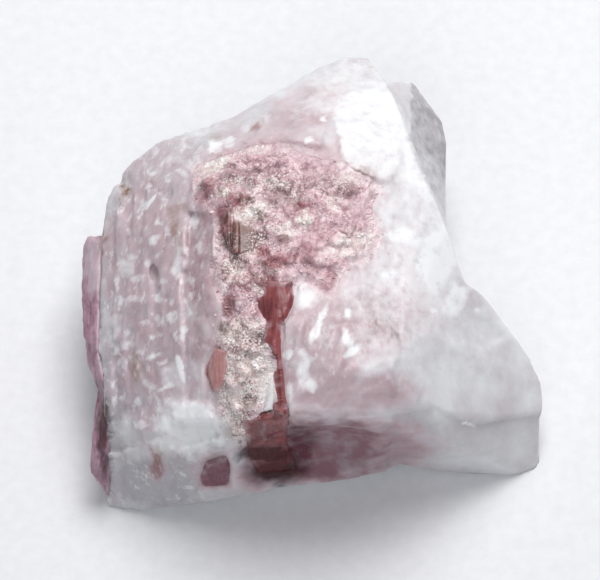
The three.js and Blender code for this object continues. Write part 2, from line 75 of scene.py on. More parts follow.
# Albite tinted by tourmaline. The deep patches low on the front face, and the weak ones over the left flank
# and upper left, also paint the shade of faces turned from the light.
ROSE_AND_SHADE_PATCHES = [
    (-1.6, 13.6, 16.6, 13.4, 0, 0.5), (0.0, 27.5, 8.3, 4.2, 35, 0.42), (-7.2, 25.6, 1.1, 1.0, 0, 0.6),
    (-1.6, 22.4, 4.5, 1.9, 0, 0.45), (7.2, 10.4, 5.4, 7.0, 0, 0.55), (8.0, 2.4, 4.8, 4.8, 0, 0.3),
    (4.8, 1.9, 1.3, 2.2, -20, 0.7), (13.6, -4.0, 5.1, 5.8, 0, 0.6), (14.4, -5.6, 0.6, 4.2, 20, 0.9),
    (11.8, -5.1, 0.5, 3.5, 15, 0.85), (18.4, -1.6, 4.2, 6.4, 0, 0.3), (4.8, -7.2, 8.0, 9.3, 0, 0.5),
    (0.0, -4.8, 1.6, 3.8, 0, 0.5), (1.6, -12.8, 6.4, 3.5, 0, 0.3), (-15.2, -6.4, 2.9, 8.6, 0, 0.6),
    (-15.2, 12.8, 2.2, 3.8, 0, 0.7), (-16.3, 5.1, 2.9, 9.3, 0, 0.7), (-25.6, 12.0, 4.2, 8.0, -10, 0.4),
    (-24.3, 16.3, 1.3, 1.9, -30, 0.5), (-30.1, 5.6, 1.4, 8.0, 0, 0.4), (-19.2, -4.8, 1.6, 6.4, 0, 0.3),
    (-22.4, -8.8, 3.5, 1.6, 30, 0.4), (-27.2, -13.6, 2.2, 3.5, 0, 0.3), (8.0, -16.3, 10.6, 3.8, 0, 0.5),
    (-1.6, -12.8, 1.1, 5.4, 0, 0.6), (-0.6, -25.3, 3.8, 5.4, 0, 0.95), (2.6, -25.6, 6.1, 6.1, 0, 0.85),
    (6.1, -25.6, 9.0, 5.8, 2, 0.85), (10.4, -25.3, 10.6, 5.1, 4, 0.65), (13.6, -25.3, 8.3, 4.2, 4, 0.4),
    (-13.9, -28.5, 3.5, 3.2, 0, 0.35), (-7.2, -29.6, 3.5, 2.6, 0, 0.6), (-23.0, -27.5, 1.0, 3.5, 4, 0.7),
    (-24.0, -21.8, 1.9, 1.3, 0, 0.35), (-10.4, -21.6, 1.3, 1.9, 0, 0.4), (-21.1, -1.6, 9.6, 21.6, 0, 0.42),
    (-19.5, 19.2, 11.2, 5.4, -12, 0.26), (-13.6, 8.0, 4.2, 8.0, 0, 0.4), (14.1, 4.5, 4.2, 6.4, 0, 0.25),
]
# Clear grey albite, that light sinks into. The same patches also paint shade on faces turned from the light:
# the upper left, the left flank, the curve down to the brow, and the front face with the left leg.
SMOKE_AND_SHADE_PATCHES = [
    (8.3, -16.5, 10.6, 3.2, 0, 0.3), (0.0, -26.4, 9.6, 5.4, 0, 0.75), (7.2, -26.4, 11.2, 5.1, 0, 0.65),
    (13.6, -25.9, 7.4, 4.5, 0, 0.45), (-4.5, -28.8, 4.8, 2.4, 0, 1.0), (-26.4, -4.8, 8.3, 24.0, 0, 0.5),
    (-29.1, -14.4, 3.8, 9.6, 0, 0.75), (4.8, -9.6, 9.0, 8.0, 0, 0.2), (-20.8, 19.5, 12.5, 6.4, -15, 0.42),
    (-17.3, 12.0, 5.4, 9.6, 0, 0.3), (-24.0, -30.4, 9.9, 4.8, 0, 0.7), (-27.5, -25.6, 4.8, 4.8, 0, 0.3),
    (-28.5, -23.2, 1.6, 2.2, 0, 0.4), (-32.0, -24.0, 1.3, 6.4, 0, 0.6), (-16.0, 4.5, 2.2, 9.6, 0, 0.25),
    (-14.1, -25.6, 2.2, 2.9, 0, 0.6), (27.2, -24.0, 9.6, 4.2, 0, 0.12), (19.2, -24.0, 3.5, 4.2, 0, 0.35),
]
# Opaque white cleavage flakes. They also paint light: a broad wash over the upper right, which faces the
# light, the block low at the left front made brighter than its light, and painted highlights where light
# flashes off flakes on the left flank and the leaves.
MILK_AND_HIGHLIGHT_PATCHES = [
    (16.0, 8.8, 9.6, 24.0, 0, 0.5), (24.8, 4.8, 4.2, 9.6, -20, 0.45), (23.4, -7.4, 4.2, 5.8, 0, 0.25),
    (20.0, 6.4, 5.4, 14.4, -25, 0.6), (22.1, 5.1, 3.5, 7.0, -15, 1.0), (24.8, -1.6, 1.9, 3.8, -25, 0.8),
    (24.0, -7.2, 8.0, 9.0, 20, 0.25), (8.0, 32.8, 9.6, 4.0, 30, 0.5), (16.0, 8.6, 4.2, 1.6, 0, 0.85),
    (23.2, 5.1, 1.9, 3.2, 20, 0.9), (17.6, 6.1, 4.2, 2.2, 0, 0.6), (0.8, 0.0, 1.9, 3.5, -10, 0.75),
    (3.0, -5.6, 0.8, 3.2, -22, 0.95), (0.6, -12.5, 1.1, 3.2, 0, 0.8), (7.4, -3.8, 0.8, 0.8, 0, 0.9),
    (7.4, -7.2, 0.8, 2.2, 10, 0.85), (8.3, -9.6, 1.6, 0.8, 40, 0.95), (1.6, -15.2, 1.0, 1.0, 0, 0.8),
    (-2.1, -10.2, 0.6, 0.8, 0, 0.8), (-1.8, -16.3, 0.6, 2.2, 0, 0.6), (-17.3, -19.4, 3.8, 1.3, 3, 1.0),
    (-17.6, -22.4, 5.4, 4.2, 0, 1.0), (-16.3, -23.4, 2.6, 0.6, 25, 1.0), (-20.6, -13.8, 2.2, 1.8, 0, 0.5),
    (-19.0, -12.8, 0.5, 2.4, 12, 1.0), (-21.4, -15.4, 1.3, 0.5, 20, 0.8), (-23.5, -10.6, 1.4, 0.6, 25, 0.8),
    (-23.5, 7.8, 1.1, 1.1, 0, 0.6), (-28.0, 3.5, 1.6, 1.4, 30, 0.6), (-19.7, 3.5, 0.8, 1.9, 0, 0.75),
    (-19.5, 6.6, 0.4, 1.6, 0, 0.6), (-22.9, -1.6, 0.6, 1.0, 0, 0.7), (-22.6, -4.8, 0.6, 1.0, 0, 0.6),
    (-17.9, -2.9, 0.5, 1.4, 8, 0.8), (-18.4, -7.0, 0.6, 1.3, -10, 0.7), (-29.3, 1.3, 0.5, 1.6, 0, 0.6),
    (-29.9, -4.5, 0.5, 1.4, 10, 0.5), (-22.4, -7.0, 0.8, 0.6, 20, 0.6), (-20.5, -1.6, 0.6, 0.8, 0, 0.5),
    (-26.7, -1.6, 1.3, 0.8, 20, 0.5), (-24.8, -5.1, 1.0, 0.6, -20, 0.5), (-27.5, -8.8, 1.4, 0.8, 15, 0.45),
    (-24.0, -15.2, 1.1, 0.8, -20, 0.5), (-18.2, 6.4, 0.5, 1.1, 0, 0.5), (-30.1, -6.1, 1.6, 3.2, 0, 0.4),
    (-24.2, 13.9, 0.4, 2.1, -38, 0.9), (-24.2, 16.5, 0.6, 0.8, 0, 0.7), (-13.6, 22.9, 1.3, 1.1, 0, 0.9),
    (-11.2, 23.5, 1.1, 0.8, 0, 0.8), (-13.6, 20.3, 3.0, 0.6, 14, 1.0), (-18.6, 22.9, 1.0, 1.0, 0, 0.5),
    (-17.6, 20.0, 1.3, 0.8, 0, 0.5), (-20.8, 20.8, 1.9, 0.8, 0, 0.4), (-23.2, 22.1, 1.0, 0.8, 0, 0.5),
    (1.3, 24.0, 0.8, 0.8, 0, 0.8), (4.0, 27.8, 0.8, 0.6, 0, 0.8), (-22.9, -25.0, 1.0, 1.3, 0, 0.7),
    (-25.3, -21.4, 1.1, 0.8, 20, 0.6), (-30.4, -25.0, 0.4, 4.0, 8, 0.6), (-28.8, -21.6, 2.2, 1.6, 0, 0.4),
    (-5.1, -14.7, 1.3, 4.8, 0, 0.7), (14.4, 2.7, 1.6, 0.8, 0, 0.85), (21.1, -3.4, 0.5, 0.3, 0, 0.9),
    (24.5, -3.4, 0.6, 0.3, 0, 0.9), (28.2, -3.4, 0.6, 0.3, 0, 0.9), (27.0, -21.4, 1.1, 0.3, 0, 1.0),
    (7.0, 33.6, 1.3, 0.8, 0, 0.5), (-28.8, -1.6, 0.6, 0.7, 20, 0.62), (-25.9, 1.6, 0.8, 0.7, -10, 0.55),
    (-24.5, 4.5, 0.7, 1.0, 10, 0.55), (-22.1, 1.3, 0.7, 0.8, 0, 0.62), (-20.8, -4.5, 0.7, 1.0, 10, 0.62),
    (-24.0, -7.7, 0.6, 0.7, 25, 0.62), (-25.8, -9.9, 0.5, 0.7, 0, 0.55), (-28.0, -12.0, 0.9, 1.0, 0, 0.47),
    (-24.3, -17.3, 0.6, 0.7, 20, 0.62), (-26.2, -18.2, 0.8, 0.7, -15, 0.55),
    (-28.5, -17.3, 0.7, 0.8, 0, 0.55), (-21.6, -11.5, 0.7, 0.6, 0, 0.7), (-19.8, -7.7, 0.5, 1.0, 0, 0.62),
    (-21.1, 9.3, 0.7, 1.0, -10, 0.55), (-22.7, 10.9, 0.7, 0.6, -30, 0.55), (-25.6, 8.0, 0.7, 1.0, 10, 0.47),
    (-26.9, 5.4, 0.7, 0.8, 10, 0.47), (-16.6, 10.9, 0.5, 1.3, 5, 0.55), (-16.0, 6.7, 0.4, 1.3, 0, 0.47),
    (-17.3, 1.9, 0.4, 1.3, 0, 0.47), (-21.1, 17.6, 0.8, 0.5, -20, 0.62), (-24.0, 18.9, 0.8, 0.5, -25, 0.55),
    (-18.9, 18.9, 1.0, 0.5, -10, 0.55), (-16.0, 21.1, 0.8, 0.7, 0, 0.55), (-8.6, 25.9, 0.8, 0.7, 10, 0.47),
    (-5.1, 27.5, 0.8, 0.5, 20, 0.47), (-29.6, -9.6, 0.7, 0.8, 0, 0.55), (-27.2, -6.4, 0.5, 1.0, 5, 0.55),
]
# Iron stain, olive to orange.
STAIN_PATCHES = [
    (9.6, 18.9, 2.2, 0.8, 0, 0.6), (8.3, 16.5, 1.6, 1.6, 0, 0.35), (-7.2, 25.9, 1.0, 0.8, 0, 0.4),
    (-13.6, 24.5, 1.4, 0.6, 0, 0.25), (-28.2, 16.3, 0.6, 1.0, 20, 1.0), (-28.6, 14.4, 0.2, 1.3, 0, 0.7),
    (-20.2, 10.4, 0.8, 2.9, 8, 0.5), (-19.2, 13.1, 1.9, 0.6, 25, 0.3), (-26.1, -12.5, 0.8, 2.6, 10, 0.6),
    (-31.4, 8.3, 0.6, 1.0, 0, 0.6), (-31.8, 6.1, 0.3, 2.2, -8, 0.9), (-31.7, -20.8, 0.5, 1.0, 0, 0.6),
    (-9.9, -22.4, 2.1, 1.9, 0, 0.4), (-23.0, -27.5, 0.6, 2.2, 0, 0.35),
]
# Grains of the crust that are bleached white to cream.
WHITE_GRAINS = [
    (-8.2, 12.3, 2.1, 1.6, 0, 1.0), (-6.1, 13.6, 1.4, 0.5, 20, 0.8), (-12.2, 15.5, 1.0, 1.0, 0, 0.9),
    (-15.0, 17.3, 1.1, 0.8, 0, 0.8), (0.8, 11.4, 1.1, 1.1, 0, 1.0), (-3.7, 17.1, 2.6, 0.8, 0, 0.7),
    (-2.4, 9.9, 1.8, 1.3, 0, 0.7), (-7.7, 6.1, 1.1, 0.8, 0, 0.6), (-10.9, 3.2, 2.1, 2.1, 0, 0.7),
    (-4.0, 3.5, 1.3, 1.1, 0, 0.8), (-6.2, -0.2, 1.4, 0.6, 0, 1.0), (-13.6, 19.8, 2.6, 1.0, 15, 1.0),
    (8.8, 8.0, 2.6, 2.1, 0, 0.6), (5.3, 13.6, 1.3, 1.4, 0, 0.5), (-9.6, -7.2, 3.8, 2.6, 0, 0.75),
    (-8.0, -12.0, 4.2, 4.2, 0, 0.75), (-9.6, -16.8, 3.5, 2.9, 0, 0.8), (-10.4, -22.1, 2.9, 2.9, 0, 1.0),
    (-5.1, -14.4, 1.3, 4.8, 0, 1.0), (6.4, 6.4, 3.2, 1.0, 0, 0.5), (-7.0, 22.4, 2.9, 0.8, 0, 0.5),
    (-9.9, 16.8, 1.6, 0.8, 0, 0.5), (7.2, 17.6, 1.9, 1.3, 0, 0.4),
]
# Grains of the crust that are brown to grey.
DARK_GRAINS = [
    (-9.0, 8.3, 3.2, 2.4, 0, 1.0), (-9.1, 14.2, 1.4, 1.0, 0, 0.9), (-10.2, 6.9, 1.4, 3.0, 0, 0.85),
    (-11.8, 3.4, 0.8, 0.8, 0, 0.9), (-3.0, 15.2, 3.5, 2.4, 0, 0.5), (-5.9, 12.0, 1.4, 0.8, 0, 0.7),
    (-6.1, 4.2, 1.3, 1.0, 0, 0.9), (-6.7, 1.3, 1.8, 1.3, 0, 0.5), (-11.2, -2.9, 0.8, 1.8, 0, 0.45),
    (-8.8, 4.8, 2.4, 0.6, 0, 0.7), (-11.8, -5.6, 1.1, 0.8, 0, 0.8), (-6.1, -8.0, 1.0, 1.9, 0, 0.6),
    (-7.7, -17.6, 1.3, 1.1, 0, 0.7), (-9.9, -9.9, 2.2, 1.0, 0, 0.5), (-9.1, -19.5, 1.9, 0.8, 0, 0.45),
    (-9.6, -14.6, 1.0, 0.6, 0, 0.5), (-7.2, -9.6, 1.1, 1.3, 0, 0.4), (-12.5, -15.2, 0.8, 1.1, 0, 0.5),
    (-2.4, 8.3, 1.6, 0.5, 0, 0.7), (-10.4, 17.9, 2.2, 1.3, 0, 0.4), (-6.1, 18.4, 3.8, 1.6, 0, 0.3),
    (7.2, 16.0, 2.6, 1.3, 0, 0.4), (2.9, 17.6, 3.2, 1.6, 0, 0.25),
]
# Grains of the crust that are crimson.
RED_GRAINS = [
    (-15.2, 16.0, 1.3, 2.1, -20, 0.85), (0.3, 13.6, 1.8, 1.0, 0, 1.0), (-12.2, 10.2, 1.4, 2.9, 0, 1.0),
    (-6.1, 6.4, 1.4, 1.4, 0, 1.0), (-4.5, 4.5, 2.1, 1.4, 15, 0.95), (-10.2, 14.4, 1.4, 1.0, -15, 0.9),
    (-5.1, 1.6, 1.4, 2.1, 10, 0.95), (-7.5, 2.9, 1.4, 1.4, 0, 0.6), (-0.3, 5.4, 1.9, 1.1, -15, 0.5),
    (-9.6, 13.4, 1.0, 0.8, 0, 0.5), (-14.1, -1.0, 1.1, 2.9, 0, 0.9), (-11.4, -2.4, 1.1, 2.2, 0, 1.0),
    (-9.1, 0.3, 2.6, 0.6, -12, 0.6), (-5.1, -6.4, 1.0, 1.6, 0, 0.8), (1.6, 6.4, 1.9, 1.4, 0, 0.5),
    (4.8, 1.6, 1.4, 2.1, -20, 0.6), (-11.2, -1.6, 1.4, 1.6, 0, 0.5), (-8.0, 1.9, 2.2, 1.3, 0, 0.45),
    (1.6, 2.4, 2.2, 1.3, 0, 0.35), (4.0, 8.8, 1.6, 2.2, 0, 0.35),
]
# Where the crust is finely speckled.
SPECKLED_PATCHES = [
    (-8.0, 16.0, 9.0, 5.4, 0, 0.75), (1.6, 15.2, 8.0, 4.2, 0, 0.45), (-9.6, -12.8, 4.8, 12.8, 0, 1.0),
    (-8.8, 8.8, 6.4, 6.4, 0, 0.9), (-7.2, 0.8, 6.4, 4.8, 0, 0.7),
]
# Clear stone with dark tourmaline under it, and the crystals' own dark parts. Low on the front, around the
# foot, they also paint the shade of the hollow under the brow.
DEEP_AND_SHADE_PATCHES = [
    (-5.1, -26.2, 5.3, 1.4, -4, 0.95), (-6.7, -22.4, 1.4, 1.4, -20, 0.5), (-4.5, -23.7, 1.4, 0.6, 10, 0.35),
    (-7.7, -24.2, 0.8, 0.8, 0, 0.5), (-3.7, -29.1, 4.5, 2.4, 0, 0.9), (-13.8, -28.8, 2.2, 2.6, 0, 0.25),
    (-6.1, -20.3, 4.2, 0.5, 0, 0.45), (-5.8, -2.7, 1.4, 1.6, 30, 0.5), (-1.6, -26.9, 2.2, 1.9, 0, 0.6),
    (0.5, -23.5, 2.6, 2.9, 0, 0.35), (-11.5, 10.2, 1.0, 3.2, 0, 0.75), (-6.1, 4.5, 1.3, 0.8, 0, 0.3),
    (-31.5, -22.7, 1.1, 7.0, 0, 0.9), (-32.3, -16.3, 0.6, 2.2, 0, 0.35), (-11.5, -2.4, 1.1, 1.9, 0, 0.6),
    (-5.4, -8.8, 1.0, 1.3, 0, 0.35),
]
# Crystal under a milky skin of albite. The thin patches along the main crystal's tail also paint light over
# the shade on its side walls.
VEILED_AND_LIGHTENED_PATCHES = [
    (0.0, -1.6, 0.6, 3.8, 0, 0.6), (-2.7, 1.3, 2.2, 0.5, 0, 0.4), (-6.7, -6.4, 1.1, 1.6, 0, 0.6),
    (-9.6, -23.0, 1.4, 2.9, 0, 0.95), (-5.9, -22.6, 0.4, 1.3, 0, 0.6), (-13.9, -27.2, 2.2, 1.0, 0, 0.3),
    (-33.1, 4.5, 1.6, 6.1, 0, 0.6), (-32.0, -9.9, 0.5, 4.8, 0, 0.5), (-33.9, -13.1, 1.0, 1.6, 0, 0.3),
    (-8.6, 13.3, 1.6, 0.6, 0, 0.6), (-8.5, -28.8, 0.8, 1.9, 0, 0.6), (-0.2, -26.4, 1.1, 4.2, 0, 0.9),
    (-1.3, -23.4, 1.0, 2.9, 0, 0.85), (0.0, -29.6, 1.6, 1.6, 0, 0.8), (-3.8, -30.4, 3.8, 0.8, 0, 0.75),
    (-2.2, -14.1, 0.4, 4.8, 0, 0.75), (-3.8, -13.1, 0.3, 2.6, 0, 0.5), (-1.9, -17.3, 0.5, 2.6, 0, 0.5),
]
# The corners of the clear grey face right of the ridge, also painted darker as shade, since it turns from the
# light: right and up in mm.
GREY_SHADED_FACE = [
    (17.8, 33.9), (19.2, 33.3), (20.2, 30.4), (21.4, 28.8), (22.9, 26.9), (23.8, 24.0), (23.8, 20.0),
    (23.5, 16.0), (23.4, 11.8), (22.1, 14.1), (20.2, 17.0), (18.4, 20.5), (17.4, 24.0), (17.6, 27.2),
    (17.9, 30.4),
]
# The corners of the large white cleavage flake above the crust, whose white is partly painted light, as it
# faces the light.
WHITE_PLATE_AND_LIGHT = [
    (5.9, 30.9), (8.3, 31.7), (12.2, 32.3), (14.7, 31.7), (16.0, 29.4), (17.0, 26.9), (17.6, 24.0),
    (18.9, 20.8), (20.8, 17.0), (23.0, 12.2), (23.4, 8.6), (21.1, 12.5), (18.6, 15.7), (16.6, 17.9),
    (14.6, 17.9), (11.5, 17.6), (7.5, 18.1), (6.7, 20.8), (6.4, 23.0), (5.8, 25.3), (5.4, 28.5),
]


# ---- Places, chance and noise ----


def display_place(points):
    """Right and up on the display side of points in mm."""
    away = points - EYE
    depth = -away @ TOWARD
    return away @ ACROSS * DISTANCE / depth, away @ UPWARD * DISTANCE / depth


def lattice(i, j, k, seed):
    """A repeatable value from -1 to 1 at each whole-numbered place."""
    mixed = (i * 374761393 + j * 668265263 + k * 1103515245 + seed * 97531) & 0xFFFFFFFF
    mixed = ((mixed ^ (mixed >> 13)) * 1274126177) & 0xFFFFFFFF
    return ((mixed ^ (mixed >> 16)) & 0xFFFF) / 32767.5 - 1.0


def noise(points, size, seed):
    """Smooth noise from -1 to 1 with lumps about `size` mm wide; size can be one for each axis."""
    scaled = points / np.asarray(size, float)
    low = np.floor(scaled).astype(np.int64)
    t = scaled - low
    t = t * t * t * (t * (t * 6 - 15) + 10)
    total = np.zeros(len(points))
    for dx in (0, 1):
        for dy in (0, 1):
            for dz in (0, 1):
                weight = (
                    (t[:, 0] if dx else 1 - t[:, 0])
                    * (t[:, 1] if dy else 1 - t[:, 1])
                    * (t[:, 2] if dz else 1 - t[:, 2])
                )
                total += weight * lattice(low[:, 0] + dx, low[:, 1] + dy, low[:, 2] + dz, seed)
    return total


def layered(points, size, seed, layers=3):
    """Noise with finer and weaker layers added."""
    size = np.asarray(size, float)
    total, share, whole = np.zeros(len(points)), 1.0, 0.0
    for layer in range(layers):
        total += share * noise(points, size, seed + 31 * layer)
        whole += share
        size, share = size / 2.03, share * 0.55
    return total / whole


def ramp(value, low, high):
    """0 below low, 1 above high, and smooth between."""
    t = np.clip((value - low) / (high - low), 0, 1)
    return t * t * (3 - 2 * t)


def patches(points, table, seed, raggedness=0.35):
    """How strongly the patches of a table cover each point, with ragged edges."""
    right, up = display_place(points)
    right = right + 0.9 * layered(points, 1.7, seed + 5)
    up = up + 0.9 * layered(points, 1.7, seed + 9)
    ragged = layered(points, 2.4, seed) * raggedness
    cover = np.zeros(len(points))
    for x, y, half_width, half_height, turn, strength in table:
        c, s = math.cos(math.radians(turn)), math.sin(math.radians(turn))
        along = ((right - x) * c + (up - y) * s) / half_width
        beside = ((up - y) * c - (right - x) * s) / half_height
        reach = np.sqrt(along**2 + beside**2) + ragged
        cover = np.maximum(cover, strength * ramp(-reach, -1.35, -0.55))
    return cover


def inside(points, outline, soft):
    """1 inside an outline on the display side, 0 outside, over a soft ragged edge in mm."""
    right, up = display_place(points)
    corners = np.array(outline)
    within = np.zeros(len(points), bool)
    nearest = np.full(len(points), 1e9)
    for (x0, y0), (x1, y1) in zip(corners, np.roll(corners, -1, axis=0)):
        side = np.array([x1 - x0, y1 - y0])
        along = np.clip(((right - x0) * side[0] + (up - y0) * side[1]) / (side @ side), 0, 1)
        nearest = np.minimum(nearest, np.hypot(right - x0 - along * side[0], up - y0 - along * side[1]))
        if y0 != y1:
            crosses = (y0 > up) != (y1 > up)
            within ^= crosses & (right < (x1 - x0) * (up - y0) / (y1 - y0) + x0)
    edge = np.where(within, nearest, -nearest) + 0.8 * layered(points, 1.6, seed=67)
    return ramp(edge, -soft, soft)


# ---- Mesh helpers ----


def node_arrays(node):
    """The solid's corners in mm, and its faces."""
    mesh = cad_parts[node].data
    corners = np.zeros(len(mesh.vertices) * 3, np.float32)
    mesh.vertices.foreach_get("co", corners)
    faces = [tuple(face.vertices) for face in mesh.polygons]
    return corners.reshape(-1, 3).astype(float) / MM, faces


def new_object(name, corners, faces):
    """An object from corners in mm."""
    mesh = bpy.data.meshes.new(name)
    mesh.from_pydata((np.asarray(corners) * MM).tolist(), [], faces)
    mesh.update()
    piece = bpy.data.objects.new(name, mesh)
    bpy.context.scene.collection.objects.link(piece)
    return piece


def welded(piece):
    """Joins corners that lie on each other, so the solid is closed for remeshing."""
    work = bmesh.new()
    work.from_mesh(piece.data)
    bmesh.ops.remove_doubles(work, verts=work.verts, dist=0.001 * MM)
    bmesh.ops.recalc_face_normals(work, faces=work.faces)
    work.to_mesh(piece.data)
    work.free()


def remeshed(piece, voxel, rounds):
    """Gives the piece an even fine mesh, voxel in mm, and rounds off its edges a number of times."""
    fine = piece.modifiers.new("Even mesh", "REMESH")
    fine.mode = "VOXEL"
    fine.voxel_size = voxel * MM
    fine.use_smooth_shade = True
    if rounds:
        soft = piece.modifiers.new("Rounding", "SMOOTH")
        soft.iterations = rounds
    bpy.context.view_layer.update()
    graph = bpy.context.evaluated_depsgraph_get()
    mesh = bpy.data.meshes.new_from_object(piece.evaluated_get(graph))
    piece.modifiers.clear()
    old, piece.data = piece.data, mesh
    bpy.data.meshes.remove(old)
    mesh.name = piece.name


def corners_of(piece):
    """The piece's corners in mm."""
    corners = np.zeros(len(piece.data.vertices) * 3, np.float32)
    piece.data.vertices.foreach_get("co", corners)
    return corners.reshape(-1, 3).astype(float) / MM


def normals_of(piece):
    """The outward direction at each corner."""
    normals = np.zeros(len(piece.data.vertices) * 3, np.float32)
    piece.data.vertex_normals.foreach_get("vector", normals)
    return normals.reshape(-1, 3).astype(float)


def set_corners(piece, corners):
    """Moves the piece's corners to new places in mm."""
    piece.data.vertices.foreach_set("co", (corners * MM).astype(np.float32).ravel())
    piece.data.update()


def mark(piece, name, values):
    """Keeps a number for each corner, for the materials to read."""
    layer = piece.data.attributes.new(name, "FLOAT", "POINT")
    layer.data.foreach_set("value", np.asarray(values, np.float32))


def mark_place(piece, name, values):
    """Keeps a place for each corner, in metres, for the materials to read."""
    layer = piece.data.attributes.new(name, "FLOAT_VECTOR", "POINT")
    layer.data.foreach_set("vector", (np.asarray(values) * MM).astype(np.float32).ravel())


def fine_copy(name, node, voxel, rounds=0):
    """The node's solid with an even fine mesh."""
    piece = new_object(name, *node_arrays(node))
    welded(piece)
    remeshed(piece, voxel, rounds)
    return piece


def tree_of(corners, faces):
    """A search tree over a mesh, in mm."""
    return BVHTree.FromPolygons(np.asarray(corners).tolist(), faces)


def faces_of(piece):
    """The piece's faces by corner."""
    return [tuple(face.vertices) for face in piece.data.polygons]


def reach_to(points, tree, limit):
    """How far each point is from a mesh, up to a limit, and the direction to it."""
    reach, heading = np.full(len(points), float(limit)), np.zeros((len(points), 3))
    for i, point in enumerate(points.tolist()):
        spot, _, _, gap = tree.find_nearest(point, limit)
        if spot is not None:
            reach[i] = gap
            heading[i] = np.array(spot) - points[i]
    return reach, heading


def reach_to_node(points, node, limit):
    """How far each point is from a node's solid, up to a limit in mm, and the direction to it."""
    corners, faces = node_arrays(node)
    near = np.all((points > corners.min(0) - limit) & (points < corners.max(0) + limit), axis=1)
    reach, heading = np.full(len(points), float(limit)), np.zeros((len(points), 3))
    reach[near], heading[near] = reach_to(points[near], tree_of(corners, faces), limit)
    return reach, heading


def seated(piece, node, material):
    """Puts the finished piece in place of its solid."""
    piece.data.materials.clear()
    piece.data.materials.append(material)
    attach(piece, "root")
    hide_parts(node)


# ---- Materials ----


def linear(code):
    """An sRGB hex colour as linear red, green, blue and alpha."""
    channels = [int(code[i : i + 2], 16) / 255 for i in (1, 3, 5)]
    return (*[c / 12.92 if c <= 0.04045 else ((c + 0.055) / 1.055) ** 2.4 for c in channels], 1.0)


def fill(tree, node, inputs):
    """Sets a node's inputs to numbers and hex colours, or links them to what other nodes give."""
    for name, value in inputs.items():
        if isinstance(value, bpy.types.NodeSocket):
            tree.links.new(value, node.inputs[name])
        else:
            node.inputs[name].default_value = linear(value) if isinstance(value, str) else value


def add(tree, kind, inputs=None, out=0, stops=(), **settings):
    """Adds a node with its settings and links, and returns one of its outputs. The stops of a colour ramp
    are places with a hex colour or a grey."""
    node = tree.nodes.new("ShaderNode" + kind)
    for name, value in settings.items():
        setattr(node, name, value)
    fill(tree, node, inputs or {})
    if stops:
        elements = node.color_ramp.elements
        while len(elements) < len(stops):
            elements.new(0.5)
        for element, (place, shade) in zip(elements, stops):
            element.position = place
            element.color = linear(shade) if isinstance(shade, str) else (shade, shade, shade, 1.0)
    return node.outputs[out]


def new_material(name):
    """A material with its tree, its shader and the piece's own coordinates."""
    material = bpy.data.materials.new(name)
    material.use_nodes = True
    tree = material.node_tree
    shader = next(node for node in tree.nodes if node.type == "BSDF_PRINCIPLED")
    return material, tree, shader, add(tree, "TexCoord", out="Object")


def broken_up(tree, name, pattern, stops):
    """The number kept at each corner under a name, broken up by a pattern."""
    kept = add(tree, "Attribute", out="Fac", attribute_name=name)
    broken = add(tree, "ValToRGB", {"Fac": pattern}, stops=stops)
    return add(tree, "Math", {0: kept, 1: broken}, operation="MULTIPLY")


def along_fibres(tree, size, detail, roughness):
    """A pattern drawn out along the fibres or growth lines. Its size is in mm across, along and into them."""
    place = add(tree, "Attribute", out="Vector", attribute_name="fibre_place")
    cells = add(tree, "VectorMath", {0: place, 1: [side * MM for side in size]}, operation="DIVIDE")
    return add(tree, "TexNoise", {"Vector": cells, "Scale": 1.0, "Detail": detail, "Roughness": roughness})


def tinted(tree, body, tints):
    """The body's colour with tints laid over it one by one, each as strongly as its share says."""
    for share, tint in tints:
        body = add(tree, "Mix", {0: share, 6: body, 7: tint}, out=2, data_type="RGBA")
    return body


def albite_colours(tree, look, place):
    """The albite's colour with everything that tints it, painted shade and light among them, and the patterns
    that its bumps follow.
    """
    fibres = along_fibres(tree, (1.333, 4.35, 2.5), detail=4.0, roughness=0.6)
    # Each pattern's width in mm, detail and roughness.
    clouds, flecks, mottles = (
        add(tree, "TexNoise", {"Vector": place, "Scale": 1000 / width, "Detail": detail, "Roughness": rough})
        for width, detail, rough in ((9.0, 4.0, 0.6), (1.6, 5.0, 0.65), (3.4, 4.0, 0.6))
    )
    fibrous, rose, deep, milk = (
        add(tree, "Attribute", out="Fac", attribute_name=name) for name in ("fibrous", "rose", "deep", "milk")
    )
    body = add(tree, "ValToRGB", {"Fac": clouds}, stops=[(0.35, look.albite_shade), (0.62, look.albite)])
    # The white streaks along the fibres are partly painted sheen, light off the cleavage.
    silk_and_sheen = [(0.36, look.albite_shade), (0.5, look.albite), (0.7, look.milk)]
    silk_and_sheen = add(tree, "ValToRGB", {"Fac": fibres}, stops=silk_and_sheen)
    silky = add(tree, "Math", {0: fibrous, 1: 0.5}, operation="MULTIPLY")
    # Smoke, rose and deep also paint shade on faces turned from the light.
    smoky_and_shaded = broken_up(tree, "smoke", clouds, [(0.3, 0.75), (0.6, 1.0)])
    rosy = broken_up(tree, "rose", mottles, [(0.36, 0.62), (0.58, 1.0)])
    rose = add(tree, "ValToRGB", {"Fac": rose}, stops=[(0.3, look.rose), (0.95, look.rose_deep)])
    # The white flakes also paint light and highlights where the milk patches say.
    flakes_and_highlights = add(tree, "Math", {0: flecks, 1: 0.6}, operation="MULTIPLY")
    flakes_and_highlights = add(tree, "Math", {0: milk, 1: 0.65, 2: flakes_and_highlights}, operation="MULTIPLY_ADD")
    flakes_and_highlights = add(tree, "ValToRGB", {"Fac": flakes_and_highlights}, stops=[(0.4, 0.0), (0.9, 1.0)])
    white = add(tree, "ValToRGB", {"Fac": flecks}, stops=[(0.28, look.albite), (0.46, look.milk)])
    stained = broken_up(tree, "stain", flecks, [(0.4, 0.3), (0.55, 1.0)])
    tints = [(silky, silk_and_sheen), (smoky_and_shaded, look.smoke), (rosy, rose), (deep, look.deep), (flakes_and_highlights, white)]
    return tinted(tree, body, [*tints, (stained, look.stain)]), fibres, flecks


